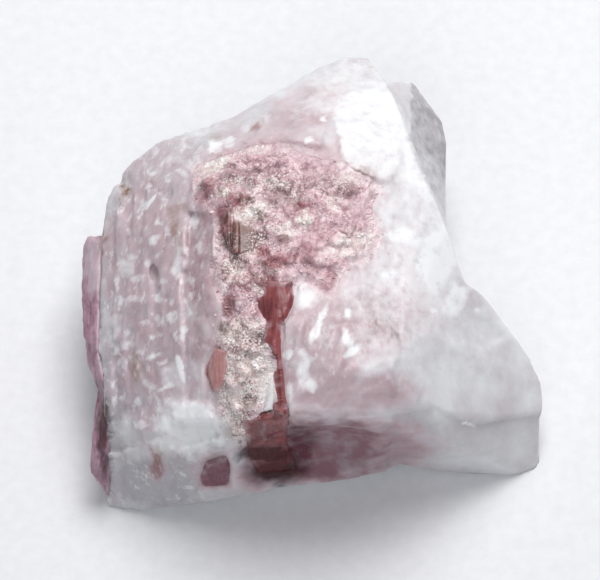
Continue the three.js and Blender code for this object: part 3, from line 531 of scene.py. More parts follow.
def sugary_colours(tree, look, place, tone):
    """The colours of the sugary grains, pink, bleached, crimson and dark ones by zone, and the pattern of
    the finest of them. tone is each grain's own."""
    # Each pattern's width in mm, detail and roughness. The finest grit is drawn coarser than it is, to show.
    fine, lumps, broad, clusters = (
        add(tree, "TexNoise", {"Vector": place, "Scale": 1000 / width, "Detail": detail, "Roughness": rough})
        for width, detail, rough in ((0.36, 2.0, 0.7), (1.6, 3.0, 0.6), (5.0, 2.0, 0.5), (2.6, 3.0, 0.6))
    )
    mingled = 0.0
    for part, share in ((tone, 0.2), (fine, 0.2), (lumps, 0.35), (broad, 0.25)):
        mingled = add(tree, "Math", {0: part, 1: share, 2: mingled}, operation="MULTIPLY_ADD")
    tone = add(tree, "ValToRGB", {"Fac": mingled}, stops=[(0.36, 0.0), (0.66, 1.0)])

    pink = [(0.05, look.grain_pink_dark), (0.45, look.grain_pink), (0.95, look.grain_pale)]
    body = add(tree, "ValToRGB", {"Fac": tone}, stops=pink)
    for name, stops in (
        ("bleached", [(0.0, look.grain_brown), (0.36, look.grain_beige), (0.82, look.grain_white)]),
        ("red", [(0.0, look.grain_red_dark), (0.6, look.grain_red), (1.0, look.grain_pink_dark)]),
        ("dark", [(0.2, look.grain_dark), (0.75, look.grain_brown), (1.0, look.grain_pink_dark)]),
    ):
        share = add(tree, "Attribute", out="Fac", attribute_name=name)
        body = tinted(tree, body, [(share, add(tree, "ValToRGB", {"Fac": tone}, stops=stops))])

    speckled, red = (
        add(tree, "Attribute", out="Fac", attribute_name=name) for name in ("speckled", "red")
    )
    clusters = add(tree, "ValToRGB", {"Fac": clusters}, stops=[(0.4, 0.25), (0.6, 1.0)])
    unspeckled = add(tree, "ValToRGB", {"Fac": red}, stops=[(0.3, 1.0), (0.9, 0.3)])
    speckly = add(tree, "Math", {0: speckled, 1: 0.9, 2: 0.1}, operation="MULTIPLY_ADD")
    for share in (clusters, unspeckled):
        speckly = add(tree, "Math", {0: speckly, 1: share}, operation="MULTIPLY")
    for stops, colour in (
        ([(0.53, 0.0), (0.61, 1.0)], look.grain_white),
        ([(0.37, 1.0), (0.44, 0.0)], look.grain_brown),
    ):
        specks = add(tree, "ValToRGB", {"Fac": fine}, stops=stops)
        specks = add(tree, "Math", {0: specks, 1: speckly}, operation="MULTIPLY")
        body = tinted(tree, body, [(specks, colour)])
    return body, fine


def let_light_in(tree, shader, weight, radius, depth):
    """Lets light into the stone, as deep in mm as depth says, but not at its seams, where it would be lost
    between two stones, and less where rose tourmaline drinks it."""
    seam, rose = (add(tree, "Attribute", out="Fac", attribute_name=name) for name in ("seam", "rose"))
    away = add(tree, "Math", {0: seam, 1: -weight, 2: weight}, operation="MULTIPLY_ADD")
    clear = add(tree, "ValToRGB", {"Fac": rose}, stops=[(0.45, 1.0), (0.9, 0.15)])
    let_in = add(tree, "Math", {0: away, 1: clear}, operation="MULTIPLY")
    light = {"Subsurface Weight": let_in, "Subsurface Radius": radius, "Subsurface Scale": depth * MM}
    fill(tree, shader, light)


def dull_where_dark(tree, shader, level):
    """Takes the sheen off where the stone is dark, where it would grey the colour under it."""
    deep, rose = (add(tree, "Attribute", out="Fac", attribute_name=name) for name in ("deep", "rose"))
    dark = add(tree, "Math", {0: deep, 1: rose}, operation="MAXIMUM")
    sheen = add(tree, "ValToRGB", {"Fac": dark}, stops=[(0.6, level), (0.95, 0.3 * level)])
    fill(tree, shader, {"Specular IOR Level": sheen})


def milky_albite(look):
    """Albite feldspar, cleaved and broken: cloudy light passes a few millimetres in, and cleavage flakes
    scatter white flecks and silky fibres over it. The white flecks and streaks are partly painted glints of
    light off the cleavage."""
    material, tree, shader, place = new_material("Albite feldspar, milky, cleaved")
    body, fibres, flecks = albite_colours(tree, look, place)
    grains, _ = sugary_colours(tree, look, place, 0.5)
    sugary, fibrous = (
        add(tree, "Attribute", out="Fac", attribute_name=name) for name in ("sugary", "fibrous")
    )
    # The white chips along the fibres are painted sparkle, glints of light off cleavage flakes.
    chips = along_fibres(tree, (1.25, 2.38, 1.667), detail=5.0, roughness=0.7)
    chips = broken_up(tree, "fibrous", chips, [(0.54, 0.0), (0.66, 0.55)])
    body = tinted(tree, body, [(sugary, grains), (chips, look.milk)])

    relief = add(tree, "Math", {0: flecks, 1: 0.8}, operation="MULTIPLY")
    relief = add(tree, "Math", {0: fibres, 1: fibrous, 2: relief}, operation="MULTIPLY_ADD")
    coarse = add(tree, "Bump", {"Height": relief, "Strength": 0.35, "Distance": 0.2 * MM})
    sugar = {"Vector": place, "Scale": 1000 / 0.5, "Detail": 3.0, "Roughness": 0.6}
    fine = {"Height": add(tree, "TexNoise", sugar), "Strength": 0.25, "Distance": 0.08 * MM, "Normal": coarse}
    rough = add(tree, "ValToRGB", {"Fac": flecks}, stops=[(0.35, 0.34), (0.65, 0.6)])
    surface = {"Base Color": body, "Roughness": rough, "Normal": add(tree, "Bump", fine), "IOR": 1.53}
    fill(tree, shader, surface)
    dull_where_dark(tree, shader, level=0.5)
    let_light_in(tree, shader, weight=0.65, radius=(1.0, 0.85, 0.8), depth=2.4)
    return material


def sugary_grains(look):
    """Fine-grained tourmaline and albite, grown as loose sugary grains: each grain is its own glassy
    colour, from bleached to crimson and brown, so the crust sparkles."""
    material, tree, shader, place = new_material("Tourmaline and albite, fine grained, sugary")
    under, _, _ = albite_colours(tree, look, place)
    tone, sugary = (add(tree, "Attribute", out="Fac", attribute_name=name) for name in ("tone", "sugary"))
    grains, fine = sugary_colours(tree, look, place, tone)
    body = tinted(tree, under, [(sugary, grains)])
    normal = add(tree, "Bump", {"Height": fine, "Strength": 0.6, "Distance": 0.15 * MM})
    rough = add(tree, "ValToRGB", {"Fac": fine}, stops=[(0.3, 0.25), (0.7, 0.5)])
    fill(tree, shader, {"Base Color": body, "Roughness": rough, "Normal": normal, "IOR": 1.6})
    let_light_in(tree, shader, weight=0.5, radius=(1.0, 0.75, 0.75), depth=1.0)
    return material


def striated_tourmaline(look, name, crystal, roughness, sugary_skin=False):
    """Elbaite tourmaline, grown with lines along its length: glassy, darker where it is thick, and veiled
    where a skin of albite or of sugary grains creeps over it."""
    material, tree, shader, place = new_material(name)
    dark, middle, pale = (getattr(look, f"{crystal}_{part}") for part in CRYSTAL_PARTS)
    lines = along_fibres(tree, (0.345, 5.0, 1.11), detail=3.0, roughness=0.55)
    clouds = {"Vector": place, "Scale": 1000 / 2.6, "Detail": 4.0, "Roughness": 0.6}
    clouds = add(tree, "TexNoise", clouds)
    deep, veil = (add(tree, "Attribute", out="Fac", attribute_name=name) for name in ("deep", "veil"))
    body = add(tree, "ValToRGB", {"Fac": clouds}, stops=[(0.32, dark), (0.6, middle)])
    lined = add(tree, "ValToRGB", {"Fac": lines}, stops=[(0.46, 0.0), (0.74, 0.42)])
    deepened = add(tree, "Math", {0: deep, 1: 0.85}, operation="MULTIPLY")
    skin = sugary_colours(tree, look, place, 0.5) if sugary_skin else albite_colours(tree, look, place)
    body = tinted(tree, body, [(lined, pale), (deepened, look.deep), (veil, skin[0])])
    normal = add(tree, "Bump", {"Height": lines, "Strength": 0.4, "Distance": 0.12 * MM})
    rough = [(0.3, roughness - 0.08), (0.7, roughness + 0.14)]
    rough = add(tree, "ValToRGB", {"Fac": clouds}, stops=rough)
    fill(tree, shader, {"Base Color": body, "Roughness": rough, "Normal": normal, "IOR": 1.63})
    dull_where_dark(tree, shader, level=0.4)
    let_light_in(tree, shader, weight=0.4, radius=(1.0, 0.45, 0.45), depth=1.2)
    return material


# ---- What a user would change ----

# A colour's label, what it is the colour of, and its sRGB value.
COLOURS = {
    "albite": ("Albite", "clean milky albite", "#E2E3E6"),
    "albite_shade": ("Albite, shaded", "the albite's greyer clouds", "#C9C4C8"),
    # Milk also paints light and highlights; smoke, deep rose and deep also paint shade on faces turned from
    # the light.
    "milk": ("Milk", "opaque white cleavage flakes", "#F1F2F4"),
    "smoke": ("Smoke", "clear grey albite", "#9A959C"),
    "rose": ("Rose", "albite tinted by tourmaline", "#C68B96"),
    "rose_deep": ("Deep rose", "strongly tinted albite", "#682F40"),
    "deep": ("Deep", "dark tourmaline, and of clear stone over it", "#340F14"),
    "stain": ("Stain", "iron stain", "#8A6B4C"),
    "grain_pale": ("Pale grain", "pale pink grains", "#F1E4E5"),
    "grain_pink": ("Pink grain", "pink grains", "#D2AFB7"),
    "grain_pink_dark": ("Dusky grain", "dusky pink grains", "#9E7781"),
    "grain_white": ("White grain", "bleached grains", "#FCFAF8"),
    "grain_beige": ("Beige grain", "beige grains", "#DDCCC6"),
    "grain_brown": ("Brown grain", "brown grains", "#835C57"),
    "grain_dark": ("Dark grain", "the darkest specks", "#4A2C2C"),
    "grain_red": ("Red grain", "crimson grains", "#A2646D"),
    "grain_red_dark": ("Deep red grain", "the deepest red grains", "#763640"),
}
CRYSTAL_PARTS = ("dark", "middle", "pale")
CRYSTAL_COLOURS = {
    "main": ("#6C3033", "#8F4A4C", "#B07478"),
    "striated": ("#4E2422", "#75483F", "#9C8074"),
    "stub": ("#98605E", "#BD8684", "#D6AEAB"),
    "corner": ("#6C3845", "#834D5E", "#9C7984"),
    "side": ("#87596A", "#B08A9A", "#D2C3D0"),
}
for crystal, codes in CRYSTAL_COLOURS.items():
    for part, code in zip(CRYSTAL_PARTS, codes):
        label = f"{crystal.capitalize()} crystal, {part}"
        COLOURS[f"{crystal}_{part}"] = (label, f"the {crystal} crystal's {part} parts", code)

# A size's label, what it is, and its value in mm.
SIZES = {
    "albite_mesh": ("Albite mesh", "Width of the mesh cells on the albite", 0.42),
    "crystal_mesh": ("Crystal mesh", "Width of the mesh cells on the crystals", 0.2),
    "crust_mesh": ("Crust mesh", "Width of the mesh cells on the crust", 0.22),
    "seat": ("Seat", "How far a crystal spreads into the albite around it", 0.1),
}


class SpecimenLook(bpy.types.PropertyGroup):
    """Colours of the minerals."""

    __annotations__ = {
        name: bpy.props.StringProperty(name=label, description=f"Colour of {what}", default=code)
        for name, (label, what, code) in COLOURS.items()
    }


class SpecimenSizes(bpy.types.PropertyGroup):
    """Sizes of the stone's fine shapes, and how many grains it has."""

    __annotations__ = {
        name: bpy.props.FloatProperty(
            name=label, description=what, default=size * MM, unit="LENGTH", precision=5
        )
        for name, (label, what, size) in SIZES.items()
    }
    __annotations__["grains"] = bpy.props.IntProperty(
        name="Grains", description="How many sugary grains are strewn", default=500, min=1
    )


# ---- The pieces ----

INLAYS = ["main_tourmaline", "striated_tourmaline", "stub_tourmaline", "corner_tourmaline"]
# The gap in mm that the solids keep between an inlay and the wall of its pocket.
POCKET_GAP = 0.35
# Every floor and wall of a pocket is nearer than this to the inlay's solid, in mm.
POCKET_REACH = 1.6
# A pocket's floor lies more than this far in mm under the inlay's top, and nearer than this to its solid.
POCKET_DEPTH, FLOOR_REACH = 1.7, 1.0
# The skin that closes a pocket lies this far in mm under the inlay's top.
SKIN_DEPTH = 0.6
SKIN_ROUNDS = 80
# How high the albite's relief stands, in mm: broad swells, cleavage steps, ridges and flakes along the
# fibres, fine relief, and lumps towards the crust.
SWELLS, STEPS, RIDGES, FLAKES, FINE, LUMPS = 0.16, 0.22, 0.1, 0.14, 0.09, 0.3
# The least and the greatest width of a grain in mm, on the crust and outside it, and how far outside the
# crust's edge grains are still strewn.
GRAINS, STRAY_GRAINS, STRAY_REACH = (0.2, 0.45), (0.18, 0.34), 2.2


def fibre_places(points):
    """Places counted across, along and into the cleavage fibres, which bend over at the left flank's ends."""
    right, up = display_place(points)
    bend = 0.006 * np.maximum(up, 0) ** 2 + 0.004 * np.minimum(up + 8, 0) ** 2
    across = right - bend + 0.5 * noise(points, 9.0, seed=4)
    depth = points @ TOWARD
    return np.stack([across, up, depth], axis=1)


def mark_zones(piece, places, facing=1.0, seen=1.0, halo=0.0):
    """Keeps what tints the stone at each corner, as the zones of the display side say. facing and seen are
    1 where a corner is turned to that side and can be seen from it. halo is the rose that shows through
    the stone beside a crystal."""
    # Rose, smoke and deep also paint shade on faces turned from the light, and milk paints light and
    # highlights.
    mark(piece, "rose", np.maximum(patches(places, ROSE_AND_SHADE_PATCHES, seed=61), halo) * facing)
    # The grey face is clear grey albite painted darker still as shade.
    grey = inside(places, GREY_SHADED_FACE, soft=0.3) * seen
    mark(piece, "smoke", np.maximum(patches(places, SMOKE_AND_SHADE_PATCHES, seed=62) * facing, grey))
    mark(piece, "deep", patches(places, DEEP_AND_SHADE_PATCHES, seed=68, raggedness=0.3) * facing)
    # The white cleavage flake is opaque white, and partly painted light.
    plate_and_light = 0.72 * inside(places, WHITE_PLATE_AND_LIGHT, soft=0.6)
    mark(piece, "milk", np.maximum(patches(places, MILK_AND_HIGHLIGHT_PATCHES, seed=63), plate_and_light) * facing)
    mark(piece, "stain", patches(places, STAIN_PATCHES, seed=64) * facing)
    mark(piece, "bleached", patches(places, WHITE_GRAINS, seed=85, raggedness=0.55))
    mark(piece, "dark", patches(places, DARK_GRAINS, seed=86, raggedness=0.6))
    mark(piece, "red", patches(places, RED_GRAINS, seed=87, raggedness=0.5))
    mark(piece, "speckled", patches(places, SPECKLED_PATCHES, seed=88, raggedness=0.5))


def sugared(places, depth):
    """How sugary the stone is, by the depth in mm inside the crust's border, or outside it if negative."""
    return ramp(depth + 1.5 * layered(places, 2.2, seed=66), -2.0, 2.0)


def top_over(tree, place):
    """How far out along the line of sight a solid's top lies over a place, or None beside the solid."""
    spot = tree.ray_cast(Vector(place + TOWARD * NEAR), Vector(-TOWARD), 2 * NEAR)[0]
    return None if spot is None else np.array(spot) @ TOWARD


def closed_over(piece, nodes):
    """The piece's corners with the pockets around the nodes' solids closed by a smooth skin, which runs on
    under what fills them."""
    corners, normals = corners_of(piece), normals_of(piece)
    loose = np.zeros(len(corners), bool)
    for node in nodes:
        solid, faces = node_arrays(node)
        tree = tree_of(solid, faces)
        low, high = solid.min(0) - POCKET_REACH, solid.max(0) + POCKET_REACH
        near = np.all((corners > low) & (corners < high), axis=1)
        for i in np.flatnonzero(near & ~loose):
            spot, _, _, gap = tree.find_nearest(corners[i], POCKET_REACH)
            if spot is None:
                continue
            heading = (np.array(spot) - corners[i]) / max(gap, 1e-6)
            # The top is looked for a little inside the solid, past its border.
            top = top_over(tree, corners[i] + heading * (gap + 0.25))
            drop = 0.0 if top is None else top - corners[i] @ TOWARD
            # A floor lies deep under the top and close to the solid. A wall faces the solid.
            if (drop > POCKET_DEPTH and gap < FLOOR_REACH) or normals[i] @ heading > 0.45:
                loose[i] = True
                corners[i] += TOWARD * max(drop - SKIN_DEPTH, 0.0)
    return relaxed(piece, corners, loose, SKIN_ROUNDS)


def in_sight(piece, corners, normals):
    """1 where a corner lies open to the display side, 0 where the stone or the side blade hides it, and
    soft between."""
    trees = [tree_of(corners, faces_of(piece)), tree_of(*node_arrays("side_tourmaline"))]
    seen = np.zeros((len(corners), 1))
    # The rays start clear of the corner's own faces.
    starts = corners + 0.3 * normals + 0.6 * TOWARD
    for i in np.flatnonzero(normals @ TOWARD > -0.4):
        start = Vector(starts[i])
        seen[i] = all(tree.ray_cast(start, Vector(TOWARD), FAR)[0] is None for tree in trees)
    return relaxed(piece, seen, np.full(len(corners), True), rounds=6)[:, 0]


def relaxed(piece, values, loose, rounds):
    """The corners' values with the loose ones drawn to the middle of their neighbours, a number of times."""
    edges = np.zeros(len(piece.data.edges) * 2, np.int32)
    piece.data.edges.foreach_get("vertices", edges)
    edges = edges.reshape(-1, 2)
    edges = edges[loose[edges].any(axis=1)]
    count = np.bincount(edges.ravel(), minlength=len(values))[loose, None]
    ends = np.concatenate([edges[:, 0], edges[:, 1]])
    others = np.concatenate([edges[:, 1], edges[:, 0]])
    for _ in range(rounds):
        total = [np.bincount(ends, column[others], len(values)) for column in values.T]
        values[loose] = np.stack(total, axis=1)[loose] / count
    return values


def grown_to(corners, normals, node):
    """The corners with the stone beside a node's solid grown up to it."""
    reach, heading = reach_to_node(corners, node, limit=2.0)
    heading /= np.maximum(reach, 1e-6)[:, None]
    pull = (1 - ramp(reach, 0.9, 1.7)) * (np.einsum("ij,ij->i", normals, heading) > -0.3)
    return corners + heading * ((reach + 0.05) * pull)[:, None]


def reach_to_wall(corners, nodes, limit):
    """How far each corner of an inlay is from the nearest node around it, past the gap between them, the
    direction to it, and whether that is the first node."""
    found = [reach_to_node(corners, node, limit) for node in nodes]
    reaches, headings = np.array([reach for reach, _ in found]), np.array([heading for _, heading in found])
    each, nearest = np.arange(len(corners)), reaches.argmin(axis=0)
    reach = np.maximum(reaches[nearest, each] - POCKET_GAP, 0)
    return reach, headings[nearest, each], nearest == 0


def albite_relief(corners, fibres, fibrous, smooth, sugary):
    """How far the albite is lifted at each corner, in mm, by how fibrous, smooth and sugary it is there."""
    lift = SWELLS * layered(corners, 7.0, seed=11)
    steps = 3.0 * layered(corners, (5.5, 7.5, 5.5), seed=23)
    lift += (STEPS - 0.18 * smooth) * (np.floor(steps) + ramp(steps - np.floor(steps), 0.82, 1.0)) / 2
    ridges = 1 - 2 * np.abs(layered(fibres, (1.9, 6.0, 4.0), seed=37))
    lift += RIDGES * fibrous * ridges
    flakes = 2.2 * layered(fibres, (2.6, 5.0, 3.0), seed=41)
    lift += FLAKES * fibrous * (np.floor(flakes) + ramp(flakes - np.floor(flakes), 0.8, 1.0))
    lift += FINE * (1 - 0.6 * smooth) * layered(corners, 1.5, seed=51, layers=2)
    return lift + LUMPS * sugary * layered(corners, 0.9, seed=84)


class ALBITE_OT_block(bpy.types.Operator):
    """Builds the albite block with its cleavage steps and fibres."""

    bl_idname = "specimen.albite_block"
    bl_label = "Albite block"

    def execute(self, context):
        sizes, look = context.scene.specimen_sizes, context.scene.specimen_look
        piece = fine_copy("albite_block", "albite_matrix", sizes.albite_mesh / MM, rounds=2)
        set_corners(piece, closed_over(piece, ["tourmaline_crust", *INLAYS]))
        corners = grown_to(corners_of(piece), normals_of(piece), "side_tourmaline")
        set_corners(piece, corners)
        crust_side, _ = reach_to_node(corners, "tourmaline_crust", limit=4.0)
        beside = np.min([reach_to_node(corners, node, limit=4.0)[0] for node in INLAYS], axis=0)
        normals = normals_of(piece)

        # Fibres run over the left flank, and over leaves about 9 mm around a place beside the main crystal's
        # tail. The right side, the low front and what the display side doesn't show are smooth.
        right, up = display_place(corners)
        facing = ramp(normals @ TOWARD, -0.35, 0.05) * in_sight(piece, corners, normals)
        fibres = fibre_places(corners)
        left_flank = ramp(-right, 12.5, 17.5) * facing
        leaves = ramp(-np.hypot((right - 4) / 9, (up + 6) / 9), -1.2, -0.8) * facing
        fibrous = np.clip(left_flank + 0.7 * leaves, 0, 1)
        smooth = np.clip(ramp(right, 15, 21) + ramp(-up, 19, 22) + (1 - facing), 0, 1)

        sugary = sugared(corners, 0.5 - crust_side)
        lift = albite_relief(corners, fibres, fibrous, smooth, sugary)
        # The base stays flat, and the seams stay where the inlays are laid down.
        lift *= ramp(corners[:, 2], 0.2, 1.5)
        lift *= ramp(np.minimum(beside, crust_side), 0.1, 1.2)
        set_corners(piece, corners + normals * lift[:, None])

        halo = 0.65 * ramp(0.5 * layered(corners, 1.2, seed=75) - beside, -1.1, 0.1)
        # The grey face, with its painted shade, ends above the undercut below it.
        seen = ramp(normals @ TOWARD, -0.15, 0.1) * ramp(corners[:, 2], 8.0, 13.0)
        mark_zones(piece, corners, facing, seen, halo)
        mark(piece, "fibrous", fibrous)
        mark(piece, "sugary", sugary * facing)
        mark(piece, "seam", 1 - ramp(np.minimum(beside, crust_side), 0.2, 1.6))
        mark_place(piece, "fibre_place", fibres)
        seated(piece, "albite_matrix", milky_albite(look))
        return {"FINISHED"}


def over_the_rim(corners, heading, share, flat, around, amount, dip):
    """The corners of a piece with its rim spread sideways over the stone around it, by an amount in mm.
    What is flat there is laid on that stone and dips into it, dip mm deep, and the walls under it sink, so
    that no groove is left between them. heading leads to the stone around it, and share is 1 at the rim."""
    sideways = heading - np.outer(heading @ TOWARD, TOWARD)
    sideways /= np.maximum(np.linalg.norm(sideways, axis=1), 1e-6)[:, None]
    moved = corners + sideways * (amount * share)[:, None]
    rim, wall = flat & (share > 0.02), ~flat & (share > 0.02)
    _, down = reach_to(moved[rim], around, limit=1.5)
    moved[rim] += down * share[rim, None] + np.outer(0.08 - dip * share[rim], TOWARD)
    moved[wall] -= 1.2 * TOWARD * share[wall, None]
    return moved


def crystal_piece(context, name, node, slot, material, relief, veil=0.6, creep=0.3, halo=0.6, inlaid=True):
    """A crystal set into the albite: its solid, spread a little into the albite, with growth lines as high
    as relief says, in mm. Where it meets the albite, and in the veiled zones, a milky skin as strong as
    veil says creeps over it, creep mm further in places. The rim of an inlaid one comes down to the
    albite."""
    sizes = context.scene.specimen_sizes
    piece = fine_copy(name, node, sizes.crystal_mesh / MM)
    set_corners(piece, corners_of(piece) + normals_of(piece) * (sizes.seat / MM))
    corners, normals = corners_of(piece), normals_of(piece)
    fibres = fibre_places(corners)
    lines = layered(fibres, (0.7, 12.0, 2.0), seed=71)
    lumps = layered(corners, 2.2, seed=72)
    set_corners(piece, corners + normals * (relief * (lines + 0.8 * lumps))[:, None])
    albite = bpy.data.objects["albite_block"]
    around = tree_of(corners_of(albite), faces_of(albite))
    # Only what borders on the albite is laid down on it. The crust grows up to the rest by itself.
    reach, heading, on_albite = reach_to_wall(corners, ["albite_matrix", "tourmaline_crust"], limit=2.5)
    if inlaid:
        share = (1 - ramp(reach, 0.1, 0.8)) * on_albite
        sunk = (heading @ TOWARD) * (1 - ramp(reach, 0.6, 1.4)) * on_albite
        lowered = corners_of(piece) + np.outer(sunk, TOWARD)
        flat = normals @ TOWARD > 0.2
        lowered = over_the_rim(lowered, heading, share, flat, around, amount=0.1, dip=0.4)
        set_corners(piece, lowered)
    rim = veil * ramp((1 + creep) * layered(corners, 1.3, seed=73) - reach, -0.4 - creep, 0.3)
    mark(piece, "veil", np.maximum(rim, patches(corners, VEILED_AND_LIGHTENED_PATCHES, seed=74)))
    mark_zones(piece, corners, halo=halo)
    mark(piece, "seam", 1 - ramp(reach, 0.1, 0.8))
    mark(piece, "fibrous", np.zeros(len(corners)))
    mark_place(piece, "fibre_place", fibres)
    seated(piece, node, material)


class TOURMALINE_OT_main(bpy.types.Operator):
    """Builds the main crystal, from its head down its thin tail to the foot in the front."""

    bl_idname = "specimen.main_crystal"
    bl_label = "Main crystal"

    def execute(self, context):
        look = context.scene.specimen_look
        rose = striated_tourmaline(look, "Elbaite tourmaline, rose red, glassy", "main", roughness=0.3)
        crystal_piece(context, "main_crystal", "main_tourmaline", "rose_red", rose, relief=0.1)
        return {"FINISHED"}


class TOURMALINE_OT_small(bpy.types.Operator):
    """Builds the three small crystals: the striated one, the stub and the one at the corner."""

    bl_idname = "specimen.small_crystals"
    bl_label = "Small crystals"

    def execute(self, context):
        look = context.scene.specimen_look
        name = "Elbaite tourmaline, brown red, finely striated"
        brown = striated_tourmaline(look, name, "striated", roughness=0.36, sugary_skin=True)
        settings = {"relief": 0.12, "veil": 0.9, "creep": 2.2}
        crystal_piece(context, "striated_crystal", "striated_tourmaline", "brown_red", brown, **settings)

        rose = striated_tourmaline(look, "Elbaite tourmaline, rose red, broken", "stub", roughness=0.3)
        crystal_piece(context, "stub_crystal", "stub_tourmaline", "rose_red", rose, relief=0.1)

        name = "Elbaite tourmaline, plum, under a milky skin"
        plum = striated_tourmaline(look, name, "corner", roughness=0.35)
        settings = {"relief": 0.08, "veil": 0.85, "creep": 0.7}
        crystal_piece(context, "corner_crystal", "corner_tourmaline", "plum", plum, **settings)
        return {"FINISHED"}


class TOURMALINE_OT_side(bpy.types.Operator):
    """Builds the blade down the left flank."""

    bl_idname = "specimen.side_blade"
    bl_label = "Side blade"

    def execute(self, context):
        look = context.scene.specimen_look
        pale = striated_tourmaline(look, "Elbaite tourmaline, pale rose, silky", "side", roughness=0.38)
        settings = {"relief": 0.2, "veil": 0.4, "halo": 0.15, "inlaid": False}
        crystal_piece(context, "side_blade", "side_tourmaline", "pale_rose", pale, **settings)
        return {"FINISHED"}


def grain_shapes(random, count):
    """Small convex chips, each the hull of a cube's corners moved at random."""
    cube = np.array([(x, y, z) for x in (-0.5, 0.5) for y in (-0.5, 0.5) for z in (-0.5, 0.5)])
    shapes = []
    for _ in range(count):
        work = bmesh.new()
        for corner in cube + random.uniform(-0.22, 0.22, cube.shape):
            work.verts.new(corner)
        hull = bmesh.ops.convex_hull(work, input=work.verts)
        bmesh.ops.delete(work, geom=hull["geom_interior"], context="VERTS")
        work.verts.index_update()
        bmesh.ops.recalc_face_normals(work, faces=work.faces)
        corners = np.array([vert.co for vert in work.verts])
        shapes.append((corners, [tuple(vert.index for vert in face.verts) for face in work.faces]))
        work.free()
    return shapes


def turns(random, count):
    """Rotation matrices in every direction alike."""
    q = random.normal(size=(count, 4))
    q /= np.linalg.norm(q, axis=1)[:, None]
    w, x, y, z = q.T
    return np.stack(
        [
            np.stack([1 - 2 * (y * y + z * z), 2 * (x * y - z * w), 2 * (x * z + y * w)], axis=1),
            np.stack([2 * (x * y + z * w), 1 - 2 * (x * x + z * z), 2 * (y * z - x * w)], axis=1),
            np.stack([2 * (x * z - y * w), 2 * (y * z + x * w), 1 - 2 * (x * x + y * y)], axis=1),
        ],
        axis=1,
    )


def crust_bed(voxel, around):
    """The crust's lumpy bed: its corners, its faces, and how far each corner is inside the border with the
    albite, in mm. around is the search tree of the albite block."""
    bed = fine_copy("sugary_crust", "tourmaline_crust", voxel, rounds=12)
    corners, normals, faces = corners_of(bed), normals_of(bed), faces_of(bed)
    bpy.data.objects.remove(bed)
    # The corner crystal, the last of the inlays, lies clear of the crust.
    for node in INLAYS[:-1]:
        corners = grown_to(corners, normals, node)
    inward, heading, _ = reach_to_wall(corners, ["albite_matrix"], limit=3.0)
    lumps = 0.3 * layered(corners, 2.4, seed=81, layers=2) + 0.2 * layered(corners, 0.9, seed=84)
    rim = ramp(inward, 0.0, 1.8)
    # The rim comes down to the albite around it and runs out over it in a ragged edge.
    corners = corners + TOWARD * ((heading @ TOWARD) * (1 - rim))[:, None]
    share, flat = 1 - ramp(inward, 0.1, 0.8), normals @ TOWARD > 0.2
    ragged = 0.9 + 0.5 * layered(corners, 1.8, seed=89, layers=2)
    corners = over_the_rim(corners, heading, share, flat, around, amount=ragged, dip=0.1)
    return corners + normals * (0.1 * rim + lumps * (0.2 + 0.8 * rim))[:, None], faces, inward


def strewn(random, count, corners, faces, grounds):
    """Places for grains, in mm, and whether each is on the crust: as the display side sees them, they lie
    over the crust's bed, and thinly over the stone outside its edge."""
    right, up = display_place(corners)
    low, high = (right.min() - 4, up.min() - 3), (right.max() + 4, up.max() + 3)
    bed, eye = tree_of(corners, faces), Vector(EYE)
    spots, on_crust = [], []
    while len(spots) < count:
        x, y = random.uniform(low[0], high[0]), random.uniform(low[1], high[1])
        chance = random.uniform()
        sight = Vector(AIM + ACROSS * x + UPWARD * y - EYE).normalized()
        bed_spot, _, _, bed_reach = bed.ray_cast(eye, sight)
        hits = [hit for hit in (ground.ray_cast(eye, sight) for ground in grounds) if hit[0] is not None]
        nowhere = (None, None, None, math.inf)
        ground_spot, _, _, ground_reach = min(hits, key=lambda hit: hit[3], default=nowhere)
        if bed_spot is not None and bed_reach < ground_reach + 0.2:
            spots.append(bed_spot)
            on_crust.append(True)
        elif ground_spot is not None:
            near = bed.find_nearest(ground_spot)[3]
            if near < STRAY_REACH and chance < 0.5 * (1 - near / STRAY_REACH) ** 2:
                spots.append(ground_spot)
                on_crust.append(False)
    return np.array(spots), np.array(on_crust)


